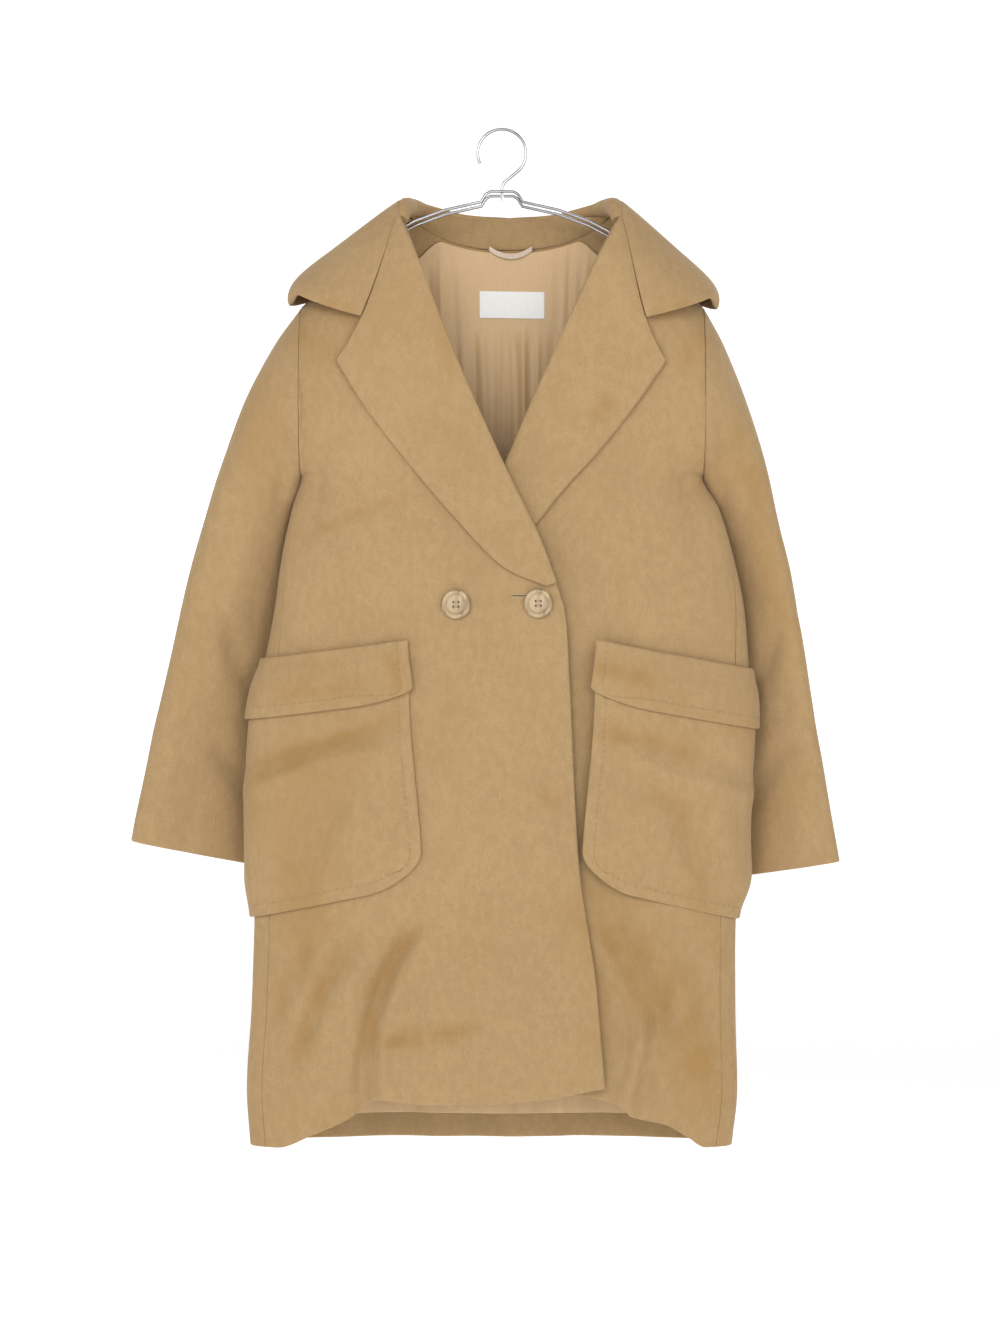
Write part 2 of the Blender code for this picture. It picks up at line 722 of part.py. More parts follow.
def over_shoulder(x, turn, lift):
    """A point above the shoulders: turn is 0 on the shoulder line and a quarter turn at full depth."""
    past = max(0.0, abs(turn) - pi / 2)
    bend = copysign(min(abs(turn), pi / 2), turn)
    y = ARMHOLE_DEPTH * sin(bend)
    inside = NECK_HALF - abs(x - NECK_MID_X)
    ridge = NECK_Z + inside if inside > 0 else shoulder_z(x)
    z = ridge - ARMHOLE_RISE * (1 - cos(bend) + past)
    slope = LEFT_SLOPE if x < NECK_MID_X else -RIGHT_SLOPE
    up = cos(bend) / ARMHOLE_RISE
    normal = Vector((-slope * up, sin(bend) / ARMHOLE_DEPTH, up)).normalized()
    return Vector((x, y, z)) + normal * lift


def turn_of(x, z):
    """The angle over the shoulder line, on the front, at a height."""
    drop = (shoulder_z(x) - z) / ARMHOLE_RISE
    return -acos(1 - drop) if drop <= 1 else -(pi / 2 + drop - 1)


def collar_fold(side, at):
    """The collar's fold, then its gorge seam beside the lapel's top edge: x and turn there."""
    x = collar_x(along(COLLAR, "t", "fold_x", at), side)
    turn = radians(along(COLLAR, "t", "fold_turn", at))
    if at > GORGE_START:
        table = OVER_LAPEL if side < 0 else UNDER_LAPEL
        x, z = lapel_xz(table, side, 1, NOTCH * (at - GORGE_START) / (1 - GORGE_START))
        x += side * 3 * GAP
        turn = turn_of(x, z)
    return x, turn


def even_drop(start, end, f):
    """The turn that lies a share of the way down between two turns on the front."""
    drop = mix(1 - cos(start), 1 - cos(end), f)
    return -acos(max(-1.0, 1 - drop))


def collar_fall(s, t):
    """The collar's fall, from its outer edge (t = 0) up to its fold (t = 1), seen from behind."""
    side, at = collar_at(s)
    at, t = rounded_corner(at, t, COLLAR_CORNER)
    fold_x, fold_turn = collar_fold(side, at)
    edge_x = collar_x(along(COLLAR, "t", "edge_x", at), side)
    edge_turn = radians(along(COLLAR, "t", "edge_turn", at))
    lift = mix(along(COLLAR, "t", "edge_lift", at), along(COLLAR, "t", "fold_lift", at), t)
    lift += 4 * t * (1 - t) * along(COLLAR, "t", "crown", at)
    near = t / COLLAR_ROLL_AT
    lift += COLLAR_ROLL * ease(COLLAR_ROLL_START, COLLAR_ROLL_FULL, at) * near * exp(1 - near)
    turn = mix(edge_turn, fold_turn, t)
    if at > GORGE_START:
        turn = mix(turn, even_drop(edge_turn, fold_turn, t), ease(GORGE_START, 1.0, at))
    return over_shoulder(mix(edge_x, fold_x, t), turn, lift)


def collar_stand(s, t):
    """The collar's stand, from the back neck seam up to just inside the fold, seen from behind."""
    side, along_it = collar_at(s)
    at = along_it * STAND_END
    fold_x, fold_turn = collar_fold(side, at)
    lift = along(COLLAR, "t", "fold_lift", at) - COLLAR_CLOTH - STAND_IN
    top = over_shoulder(fold_x, fold_turn, lift)
    x = NECK_MID_X + side * NECK_HALF * along_it
    z = neck_z(x) + GAP
    return Vector((x, depth(x, z, "back"), z)).lerp(top, t)


def trim_stand(point, s, t):
    if t > 0:
        return point
    return Vector((point.x, point.y, max(point.z, neck_z(point.x) + GAP)))


def side_patch(side, inner_x, top_z, foot_z, slope, corner, lift):
    """Surface of a pocket or flap: on the front from inner_x outwards, and on round the side."""

    def surface(s, t):
        f = 1 - s if side < 0 else s
        g, down = rounded_corner(1 - f, t, corner)
        f = 1 - g
        level = mix(foot_z, top_z, down)
        x_in = side * inner_x(level)
        start = angle_at(x_in, level)
        end = side * (pi / 2 + radians(SIDE_WRAP))
        angle = mix(start, end, f)
        reach = abs(x_at(angle, level) - x_in) / (PATCH_SPAN - abs(x_in))
        z = level - slope * reach * ease(0.0, 0.5, reach + 0.25)
        normal = patch_normal(angle, z)
        return on_body(angle, z) + normal * lift(down)

    return surface


def patch_normal(angle, z):
    """Outward normal of the body form at an angle round its section."""
    step, rise = 0.01, 1.0
    across = on_body(angle + step, z) - on_body(angle - step, z)
    up = on_body(angle, z + rise) - on_body(angle, z - rise)
    return across.cross(up).normalized()


def pocket_surface(pocket):
    def inner_x(z):
        return mix(POCKET_INNER_FOOT_X, POCKET_INNER_TOP_X, ease(POCKET_FOOT_Z, POCKET_TOP_Z, z))

    def lift(up):
        return POCKET_LIFT + POCKET_CLOTH

    return side_patch(
        pocket.side, inner_x, POCKET_TOP_Z, POCKET_FOOT_Z, pocket.pocket_slope, POCKET_CORNER, lift
    )


def flap_surface(pocket):
    def inner_x(z):
        return mix(FLAP_INNER_X - FLAP_FLARE, FLAP_INNER_X, ease(FLAP_FOOT_Z, FLAP_TOP_Z, z))

    def lift(up):
        return FLAP_CLOTH + mix(POCKET_LIFT, FLAP_LIFT, 1 - ease(0.45, 1.0, up))

    return side_patch(
        pocket.side, inner_x, FLAP_TOP_Z, FLAP_FOOT_Z, pocket.flap_slope, FLAP_CORNER, lift
    )


def inside_back(x, z, distance):
    """A point inside the back, off the lining's outer face: the lining hangs looser further down."""
    loose = LINING_LOOSE * (1 - ease(LINING_LOOSE_Z, LINING_FIRM_Z, z))
    return lifted(x, z, back_depth, 1, -(LINING_IN + loose + distance))


def lining_surface(s, t):
    """The back lining's face that shows in the neck, seen from the front."""
    x = mix(-LINING_HALF, LINING_HALF, s)
    across = abs(x - NECK_MID_X) / NECK_HALF
    to_shoulder = ease(*LINING_NECK_END, across)
    top = neck_z(x) - mix(LINING_NECK_DROP, LINING_SHOULDER_DROP, to_shoulder)
    z = mix(LINING_HEM_Z, top, t)
    return inside_back(x * mix(LINING_HEM_FLARE, 1.0, t), z, LINING_CLOTH)


def label_surface(s, t):
    across = (s - 0.5) * LABEL_WIDTH
    x = LABEL_X + across
    z = LABEL_Z + (t - 0.5) * LABEL_HEIGHT - across * LABEL_TILT
    return inside_back(x, z, LINING_CLOTH + 2 * GAP + LABEL_CLOTH)


def loop_surface(s, t):
    """The hanging loop: a narrow tape sewn at both ends, sagging between them."""
    x = mix(LOOP_X0, LOOP_X1, s)
    sag = 4 * s * (1 - s)
    z = LOOP_Z - LOOP_SAG * sag + (t - 0.5) * LOOP_WIDTH
    return inside_back(x, z, LINING_CLOTH + 2 * GAP + TAPE_CLOTH + LOOP_OFF * sag)


def button(name, group, cutters, centre, normal):
    """A four-hole button with a rolled rim, turned about its own axis."""
    bm = bmesh.new()
    verts = [bm.verts.new((point.radius * MM, 0, point.height * MM)) for point in BUTTON_PROFILE]
    for a, b in zip(verts, verts[1:]):
        bm.edges.new((a, b))
    mesh = bpy.data.meshes.new(name)
    bm.to_mesh(mesh)
    bm.free()
    obj = bpy.data.objects.new(name, mesh)
    group.objects.link(obj)
    turn = obj.modifiers.new("Turn", "SCREW")
    turn.steps = BUTTON_TURNS
    turn.render_steps = BUTTON_TURNS
    turn.use_merge_vertices = True
    turn.merge_threshold = 0.00001
    for k in range(4):
        angle = radians(45 + 90 * k)
        hole = bmesh.new()
        bmesh.ops.create_cone(
            hole, cap_ends=True, segments=BUTTON_HOLE_SIDES, radius1=BUTTON_HOLE_RADIUS * MM,
            radius2=BUTTON_HOLE_RADIUS * MM, depth=4 * BUTTON_THICK * MM,
        )
        cut_mesh = bpy.data.meshes.new(f"{name}_hole_{k}")
        hole.to_mesh(cut_mesh)
        hole.free()
        cutter = bpy.data.objects.new(f"{name}_hole_{k}", cut_mesh)
        cutters.objects.link(cutter)
        cutter.parent = obj
        cutter.location = Vector((cos(angle), sin(angle), 0)) * BUTTON_HOLE_SPREAD * MM
        cutter.hide_render = True
        cutter.display_type = "WIRE"
        cut = obj.modifiers.new(f"Hole {k}", "BOOLEAN")
        cut.operation = "DIFFERENCE"
        cut.object = cutter
    obj.location = centre * MM
    obj.rotation_mode = "QUATERNION"
    obj.rotation_quaternion = normal.to_track_quat("Z", "Y")
    return finished(obj, HORN)


def hanger(group):
    """Twin wires joined round their ends, a crossbar under their bump, and the hook on the bar."""
    arm = []
    for a, b in zip(HANGER_ARM, HANGER_ARM[1:]):
        pieces = max(1, ceil(hypot(b.x - a.x, b.z - a.z) / WIRE_STEP))
        arm += [(mix(a.x, b.x, k / pieces), mix(a.z, b.z, k / pieces)) for k in range(pieces)]
    last = HANGER_ARM[-1]
    turns = [radians(a) for a in range(-90, 91, ARM_END_TURN)]
    end_run = []
    for a in turns:
        out = cos(a)
        end_run.append((last.x + ARM_END_REACH * out, WIRE_SPREAD * sin(a), last.z - ARM_END_DROP * out))
    front_right = [(x, -WIRE_SPREAD, z) for x, z in arm]
    back_right = [(x, WIRE_SPREAD, z) for x, z in reversed(arm[1:])]
    right = front_right + end_run + back_right
    left = [(-x, -y, z) for x, y, z in right]
    middle_back = [(0, WIRE_SPREAD, HANGER_ARM[0].z)]
    tube("hanger_frame", group, STEEL, right + middle_back + left[1:], WIRE_RADIUS, cyclic=True)
    bar_half = WIRE_SPREAD + CROSSBAR_PAST
    bar = [(0, y, CROSSBAR_Z) for y in (-bar_half, 0, bar_half)]
    tube("hanger_crossbar", group, STEEL, bar, WIRE_RADIUS)
    ring = HOOK_RADIUS + WIRE_RADIUS
    start, end = HOOK_SWEEP
    turns = [radians(mix(start, end, k / HOOK_STEPS)) for k in range(HOOK_STEPS + 1)]
    hook = [(ring * cos(a), 0, -HOOK_RADIUS + ring * sin(a)) for a in turns]
    bend_x, bend_rise = STEM_BEND
    stem = [(0, 0, STEM_FOOT_Z), (0, 0, STEM_FOOT_Z + STEM_RISE), (bend_x, 0, STEM_FOOT_Z + bend_rise)]
    tube("hanger_hook", group, STEEL, stem + hook, WIRE_RADIUS)


def build():
    clear_scene()
    group = new_collection("camel_coat")
    cutters = new_collection("cutters")
    rows = HEM_ROWS + ARM_ROWS
    over = front_panel(-1, OVER_EDGE, OVER_HEM, over_depth)
    under = front_panel(1, UNDER_EDGE, UNDER_HEM, under_depth)
    cloth("front_right", group, CAMEL, over, FRONT_COLUMNS, rows, BODY_CLOTH, trim_front)
    cloth("front_left", group, CAMEL, under, FRONT_COLUMNS, rows, BODY_CLOTH, trim_front)
    cloth("back", group, CAMEL, back_panel, BACK_COLUMNS, rows, BODY_CLOTH, trim_back)
    for name, side, rings in (("right", -1, RIGHT_SLEEVE), ("left", 1, LEFT_SLEEVE)):
        for half, arc, columns in SLEEVE_HALVES:
            surface, trim = sleeve_half(rings, side, arc)
            cloth(f"{half}_sleeve_{name}", group, CAMEL, surface, columns, SLEEVE_ROWS, BODY_CLOTH, trim)
    over_lapel = lapel(OVER_LAPEL, -1, over_depth, OVER_ROLL)
    under_lapel = lapel(UNDER_LAPEL, 1, under_depth, UNDER_ROLL)
    cloth("lapel_right", group, CAMEL, over_lapel, LAPEL_COLUMNS, LAPEL_ROWS, LAPEL_CLOTH)
    cloth("lapel_left", group, CAMEL, under_lapel, LAPEL_COLUMNS, LAPEL_ROWS, LAPEL_CLOTH)
    cloth("collar_fall", group, CAMEL, collar_fall, COLLAR_COLUMNS, COLLAR_ROWS, COLLAR_CLOTH)
    stand_columns = BACK_COLUMNS - 2 * NECK_COLUMN
    cloth("collar_stand", group, CAMEL, collar_stand, stand_columns, 2, STAND_CLOTH, trim_stand)
    for pocket in POCKETS:
        patch, flap = pocket_surface(pocket), flap_surface(pocket)
        cloth(f"pocket_{pocket.name}", group, CAMEL, patch, PATCH_COLUMNS, POCKET_ROWS, POCKET_CLOTH)
        cloth(f"flap_{pocket.name}", group, CAMEL, flap, PATCH_COLUMNS, FLAP_ROWS, FLAP_CLOTH)
    cloth("back_lining", group, LINING_TAN, lining_surface, LINING_COLUMNS, LINING_ROWS, LINING_CLOTH)
    cloth("neck_label", group, LABEL_CREAM, label_surface, LABEL_COLUMNS, LABEL_ROWS, LABEL_CLOTH)
    cloth("hanging_loop", group, SATIN, loop_surface, LOOP_COLUMNS, 1, TAPE_CLOTH)
    for place in BUTTONS:
        seat = lifted(place.x, place.z, over_depth, -1, GAP)
        normal = lifted(place.x, place.z, over_depth, -1, 1 + GAP) - seat
        button(place.name, group, cutters, seat, normal)
    hanger(group)


build()
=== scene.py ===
"""The camel wool coat on its hanger, dressed for the picture: cloth shells on the coat's own form.

Sizes are in millimetres and become metres where a mesh is made. The origin is the inside crown of
the hanger's hook. +Z is up and the coat faces -Y, so the wearer's right is at -X.
"""

from collections import namedtuple
from functools import lru_cache
from math import acos, asin, ceil, copysign, cos, exp, hypot, pi, radians, sin, sqrt

import bmesh
import bpy
import numpy as np
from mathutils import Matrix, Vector

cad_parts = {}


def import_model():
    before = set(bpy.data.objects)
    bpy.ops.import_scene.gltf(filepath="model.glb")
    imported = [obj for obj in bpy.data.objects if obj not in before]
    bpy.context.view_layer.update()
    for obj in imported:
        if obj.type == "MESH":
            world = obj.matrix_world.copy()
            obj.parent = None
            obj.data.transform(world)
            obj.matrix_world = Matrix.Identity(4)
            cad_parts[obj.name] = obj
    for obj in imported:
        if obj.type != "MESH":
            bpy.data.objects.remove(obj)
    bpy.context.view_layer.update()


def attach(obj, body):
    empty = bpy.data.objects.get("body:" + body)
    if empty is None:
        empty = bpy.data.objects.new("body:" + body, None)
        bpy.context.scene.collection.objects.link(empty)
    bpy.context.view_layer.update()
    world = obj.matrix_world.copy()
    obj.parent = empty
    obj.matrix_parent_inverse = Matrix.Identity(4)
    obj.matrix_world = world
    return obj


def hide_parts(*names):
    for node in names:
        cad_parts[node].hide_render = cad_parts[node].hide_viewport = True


MM = 0.001
GAP = 0.3
SIDE_SEAM_GAP = 0.5
TINY = 1e-9
Spot = namedtuple("Spot", "x z")

# Cloth thicknesses
BODY_CLOTH = 2.5
LAPEL_CLOTH = 4.5
COLLAR_CLOTH = 4.5
STAND_CLOTH = 3.0
POCKET_CLOTH = 2.8
FLAP_CLOTH = 4.0
LINING_CLOTH = 1.0
LABEL_CLOTH = 0.6
TAPE_CLOTH = 0.8

# Shoulder line, armhole and neck
ARMHOLE_X = 213.0
SHOULDER_TIP_Z = -189.0
UNDERARM_Z = -367.0
ARMHOLE_DEPTH = 55.0
NECK_Z = -85.0
NECK_LEFT_X = -104.0
NECK_RIGHT_X = 121.0
NECK_BACK_Z = -121.0
NECK_POWER = 2.4
ARMHOLE_RISE = (SHOULDER_TIP_Z - UNDERARM_Z) / 2
ARMHOLE_MID_Z = (SHOULDER_TIP_Z + UNDERARM_Z) / 2
NECK_MID_X = (NECK_LEFT_X + NECK_RIGHT_X) / 2
NECK_HALF = (NECK_RIGHT_X - NECK_LEFT_X) / 2
LEFT_SLOPE = (NECK_Z - SHOULDER_TIP_Z) / (ARMHOLE_X + NECK_LEFT_X)
RIGHT_SLOPE = (NECK_Z - SHOULDER_TIP_Z) / (ARMHOLE_X - NECK_RIGHT_X)

# Body form
HEM_Z = -1076.0
ROUND_POWER = 2.6
UNDERARM_POWER = 2.3
CHEST_POWER = 8.0
ARMHOLE_SPREAD = 10
ROUND_STEADY_Z = -620.0
SEAM_FORWARD = 18.0
SEAM_STEADY_Z = -640.0
UNDER_LAYER = 11.2
UNDER_LAYER_FLAT = 15.0
UNDER_LAYER_RISE = 80.0
FOLD_SIDE_FADE = 6
MOST_TURN = 0.2
HALVINGS = 30
EDGE_TRIES = 40
EDGE_STEP = 0.7

# The share of a panel's rows below the underarm, and of the back's columns outside each neck point
ROW_SPLIT = 0.68
NECK_SHARE = 7 / 24

# Buttons
BUTTON_RADIUS = 15.5
BUTTON_THICK = 5.5
BUTTON_HOLE_RADIUS = 1.3
BUTTON_HOLE_SPREAD = 3.4
BUTTON_STEPS = 40
BUTTON_SIDES = 64
HOLE_SIDES = 20
HOLE_Z = 3.05
THREAD_RADIUS = 0.42
THREAD_APART = 0.35
THREAD_SUNK = 0.3
THREAD_PROUD = 0.7
HOLE_PROFILE = ((0, 0.1), (BUTTON_HOLE_RADIUS, 0.12), (BUTTON_HOLE_RADIUS, 0))
ButtonPlace = namedtuple("ButtonPlace", "name x z")
BUTTONS = (
    ButtonPlace("button_show", -48, -504),
    ButtonPlace("button_fastened", 38, -503),
)
# Half a button's outline from the middle of its face, round the rolled rim, to the middle of its foot
RimPoint = namedtuple("RimPoint", "radius height")
BUTTON_PROFILE = (
    RimPoint(0.0, 3.2), RimPoint(9.2, 3.0), RimPoint(10.8, 4.6), RimPoint(13.0, BUTTON_THICK),
    RimPoint(14.8, 4.7), RimPoint(BUTTON_RADIUS, 2.8), RimPoint(14.0, 0.8), RimPoint(9.0, 0.0),
    RimPoint(0.0, 0.0),
)
Knot = namedtuple("Knot", "at radius height")

# The corded buttonhole beside the fastened button, its slit a dark tube of painted shade
BUTTONHOLE_X0, BUTTONHOLE_X1, BUTTONHOLE_Z = 10.0, 38.0, -495.0
BUTTONHOLE_LIFT = 0.2
BUTTONHOLE_STEPS = 8
Lip = namedtuple("Lip", "name rise radius")
BUTTONHOLE_LIPS = (Lip("upper_lip", 1.3, 1.0), Lip("lower_lip", -1.3, 1.0), Lip("slit", 0.0, 0.7))

# Hanger wires
WIRE_RADIUS = 1.6
WIRE_ROUND = 5
WIRE_SPREAD = 17.5
HOOK_RADIUS = 24.0
HOOK_SWEEP = (-55.0, 205.0)
STEM_FOOT_Z = -68.4
CROSSBAR_Z = -70.5
CROSSBAR_PAST = 2.0
WIRE_STEP = 20.0
ARM_END_REACH = 16.0
ARM_END_DROP = 15.0
ARM_END_TURN = 15
HOOK_STEPS = 72
STEM_RISE = 8.0
STEM_BEND = (3.0, 14.0)
# The frame's wire from the bump in the middle to a shoulder end
HANGER_ARM = (
    Spot(0, -67), Spot(12, -67), Spot(17, -70), Spot(22, -78), Spot(60, -86.5), Spot(92, -98.2),
    Spot(112, -108.5), Spot(140, -133.5), Spot(165, -157), Spot(182, -173),
)

# The body's levels from the hem to the neck: where its sides are, and its depth ahead and behind
Level = namedtuple("Level", "z left_x right_x front back")
BODY_LEVELS = (
    Level(-1076, -267, 244, 47, 62),
    Level(-1017, -271, 250, 48, 62),
    Level(-928, -266, 248, 49, 61),
    Level(-837, -263, 248, 50, 60),
    Level(-790, -269, 259, 51, 60),
    Level(-724, -269, 260, 51, 60),
    Level(-628, -264, 264, 51, 60),
    Level(-562, -251, 261, 51, 60),
    Level(-507, -241, 257, 52, 60),
    Level(-437, -231, 243, 53, 60),
    Level(-402, -223, 231, 54, 59),
    Level(-367, -213, 213, 55, 58),
    Level(-190, -213, 213, 55, 55),
    Level(-60, -213, 213, 55, 55),
)

# Where the front edges and the lapels' roll lines run, from the hem to the neck
OVER_EDGE = (
    Spot(108, -1012), Spot(105, -975), Spot(98, -895), Spot(92, -855), Spot(82, -788), Spot(77, -714),
    Spot(71, -585), Spot(67, -518), Spot(58, -484), Spot(39, -431), Spot(0, -352), Spot(-39, -266),
    Spot(-62, -209), Spot(-104, -98), Spot(-111, -80),
)
UNDER_EDGE = (
    Spot(-100, -1020), Spot(-92, -900), Spot(-77, -714), Spot(-67, -518), Spot(-55, -484),
    Spot(8, -343), Spot(55, -240), Spot(91, -157), Spot(121, -98), Spot(130, -80),
)
OVER_HEM = (
    Spot(-300, -1076), Spot(-238, -1076), Spot(-200, -1062), Spot(-162, -1045),
    Spot(-130, -1024), Spot(-88, -1029), Spot(-25, -1029), Spot(47, -1023),
    Spot(108, -1012), Spot(140, -1008),
)
UNDER_HEM = (
    Spot(-120, -1018), Spot(69, -1020), Spot(124, -1031), Spot(136, -1044),
    Spot(170, -1051), Spot(195, -1064), Spot(216, -1076), Spot(300, -1076),
)

# Folds fade over these shares of their length past their start and end
FOLD_PAST = 0.3
FOLD_FULL = (0.35, 0.95)
# Soft folds as long ridges (height above 0) and troughs, each between two points of a panel
Fold = namedtuple("Fold", "x0 z0 x1 z1 width height")
FRONT_FOLDS = (
    Fold(-95, -846, -145, -1030, 26, -5.0),
    Fold(-165, -870, -215, -970, 30, 4.0),
    Fold(148, -955, 127, -1030, 24, 5.0),
    Fold(30, -700, 20, -1000, 60, 4.0),
    Fold(-120, -390, -150, -520, 40, 3.0),
    Fold(150, -390, 165, -520, 40, 3.0),
)
BACK_FOLDS = (
    Fold(-95, -560, -120, -1076, 40, 7.0),
    Fold(10, -480, 5, -1076, 46, -6.0),
    Fold(105, -600, 125, -1076, 38, 6.0),
    Fold(-60, -240, -150, -420, 45, -4.0),
    Fold(70, -240, 150, -420, 45, -4.0),
)

# Sleeve rings from the armhole to the cuff: where the outer and inner edges are, and the depth
Ring = namedtuple("Ring", "t outer_x outer_y outer_z inner_x inner_y inner_z depth power")
RIGHT_SLEEVE = (
    Ring(0.00, -213, 0, -189, -213, 0, -367, 55, 2.0),
    Ring(0.06, -241, 0, -227, -217, 14, -379, 54, 2.0),
    Ring(0.16, -274, 0, -292, -222, 42, -408, 48, 2.1),
    Ring(0.30, -301, -1, -372, -229, 60, -470, 40, 2.2),
    Ring(0.48, -328, -2, -467, -240, 70, -552, 32, 2.3),
    Ring(0.66, -350, -3, -563, -243, 74, -630, 27, 2.3),
    Ring(0.83, -373, -4, -658, -245, 74, -708, 24, 2.3),
    Ring(1.00, -393, -5, -754, -246, 70, -786, 22, 2.3),
)
LEFT_SLEEVE = (
    Ring(0.00, 213, 0, -189, 213, 0, -367, 55, 2.0),
    Ring(0.06, 234, 0, -227, 219, 16, -381, 54, 2.0),
    Ring(0.16, 260, 0, -292, 229, 49, -412, 45, 2.1),
    Ring(0.30, 284, -1, -372, 236, 74, -480, 33, 2.2),
    Ring(0.48, 305, -1, -467, 228, 82, -565, 23, 2.3),
    Ring(0.66, 321, 0, -563, 220, 84, -643, 20, 2.3),
    Ring(0.83, 337, 0, -668, 220, 84, -722, 19, 2.3),
    Ring(1.00, 358, -2, -776, 214, 78, -801, 20, 2.3),
)
SleeveHalf = namedtuple("SleeveHalf", "name arc columns")
SLEEVE_HALVES = (
    SleeveHalf("top", (52.0, -172.0), 70),
    SleeveHalf("under", (188.0, 52.0), 45),
)
SLEEVE_SEAM_GAP = 0.35

# Lapels: each row runs from the roll line to the outer edge, from the break up to the gorge
LapelRow = namedtuple("LapelRow", "t roll_x roll_z edge_x edge_z")
OVER_LAPEL = (
    LapelRow(0.00, 57, -481, 46, -485),
    LapelRow(0.16, 41, -437, 6, -468),
    LapelRow(0.36, 17, -388, -47, -416),
    LapelRow(0.60, -17, -315, -101, -352),
    LapelRow(0.80, -54, -229, -146, -293),
    LapelRow(1.00, -103, -98, -173, -249),
)
UNDER_LAPEL = (
    LapelRow(0.00, -52, -478, -40, -486),
    LapelRow(0.16, -28, -425, 12, -446),
    LapelRow(0.36, 0, -362, 62, -387),
    LapelRow(0.60, 33, -288, 103, -341),
    LapelRow(0.80, 70, -205, 141, -293),
    LapelRow(1.00, 120, -98, 171, -250),
)
LAPEL_BOW = 6.0
LAPEL_LIFT = 2.0
LAPEL_TOP_LIFT = 1.6
OVER_ROLL = 3.0
UNDER_ROLL = 0.6
LAPEL_ROLL_WIDTH = 16.0
LAPEL_TOP_START = 0.6
LAPEL_CROWDING = 1.5
LAPEL_BOW_FADE = 6
BOW_SCALE = 27 / 4

# Collar stations from the centre of the back to the front end. x is the distance from the neck's
# middle, turn the angle over the shoulder line (0 on top, 90 behind), lift the height above the body.
Station = namedtuple("Station", "t fold_x fold_turn fold_lift edge_x edge_turn edge_lift crown")
COLLAR = (
    Station(0.00, 0, 108, 7, 0, 180, 8, 3),
    Station(0.20, 62, 64, 7, 78, 129, 8, 4),
    Station(0.38, 97, 28, 9, 161, 80, 8, 5),
    Station(0.52, 109, 2, 11, 204, 24, 8, 7),
    Station(0.62, 111, -19, 10, 217, 8, 10, 6),
    Station(0.72, 113, -33, 7, 220, -3, 11, 5),
    Station(0.86, 131, -52, 7, 219, -10, 11, 4),
    Station(1.00, 154, -82, 7, 211, -21, 9, 3),
)
GORGE_START = 0.72
GORGE_GAP = 3 * GAP
NOTCH = 0.70
COLLAR_CORNER = 0.08
COLLAR_ROLL = 13.0
COLLAR_ROLL_AT = 0.17
COLLAR_ROLL_START, COLLAR_ROLL_FULL = 0.25, 0.60
COLLAR_LEFT_REACH = 1.07
COLLAR_RIGHT_REACH = 0.93
STAND_END = 0.50
STAND_IN = 1.3

# Patch pockets and their flaps, in distances from the middle of the coat
# A patch's inner edge, levels, rounded corner, cloth, and lift off the front at its foot and its top
Patch = namedtuple("Patch", "foot_x top_x foot_z top_z corner cloth foot_lift top_lift")
POCKET_PATCH = Patch(83.0, 97.0, -797.0, -590.0, 0.17, POCKET_CLOTH, 2.0, 2.0)
FLAP_PATCH = Patch(92.0, 98.0, -604.0, -541.0, 0.22, FLAP_CLOTH, 5.8, 2.0)
PATCH_LIE_START = 0.45
PATCH_DROP_AHEAD = 0.25
PATCH_DROP_OVER = 0.5
SIDE_WRAP = 4.0
PATCH_SPAN = ARMHOLE_X + 50.0
Pocket = namedtuple("Pocket", "side name flap_slope pocket_slope")
POCKETS = (
    Pocket(-1, "right", 22.0, 36.0),
    Pocket(1, "left", 31.0, 40.0),
)

# Label, hanging loop and lining inside the back
LABEL_X, LABEL_Z = 11.0, -180.0
LABEL_WIDTH, LABEL_HEIGHT = 70.0, 29.0
LABEL_TILT = 0.015
LOOP_X0, LOOP_X1 = -14.0, 33.0
LOOP_Z = -119.0
LOOP_SAG = 9.0
LOOP_WIDTH = 6.0
LOOP_OFF = 2.5
LINING_HEM_Z = -1050.0
LINING_HALF = 146.0
LINING_IN = 5.4
LINING_LOOSE = 2.0
LINING_LOOSE_Z = -260.0
LINING_FIRM_Z = -150.0
LINING_NECK_DROP = 3.0
LINING_SHOULDER_DROP = 48.0
LINING_NECK_END = (0.64, 1.02)
LINING_HEM_FLARE = 1.32

# How the shells are measured, smoothed and rounded at their edges; radii are shares of the thickness
EDGE_STEPS = (0.0, 0.10, 0.32, 0.62, 1.0)
EDGE_SHARE = 0.46
EDGE_RADIUS = 0.9
SOFT_EDGE_RADIUS = 1.5
ROUGH_STEPS = 7
NORMAL_SMOOTH = 0.5

# Columns and rows of the shells
FRONT_GRID = (64, 120)
BACK_GRID = (120, 110)
SLEEVE_ROWS = 90
LAPEL_GRID = (36, 90)
FALL_GRID = (150, 34)
STAND_GRID = (60, 12)
POCKET_GRID = (60, 60)
FLAP_GRID = (60, 24)
LINING_GRID = (150, 120)
LABEL_GRID = (20, 10)
LOOP_GRID = (30, 6)

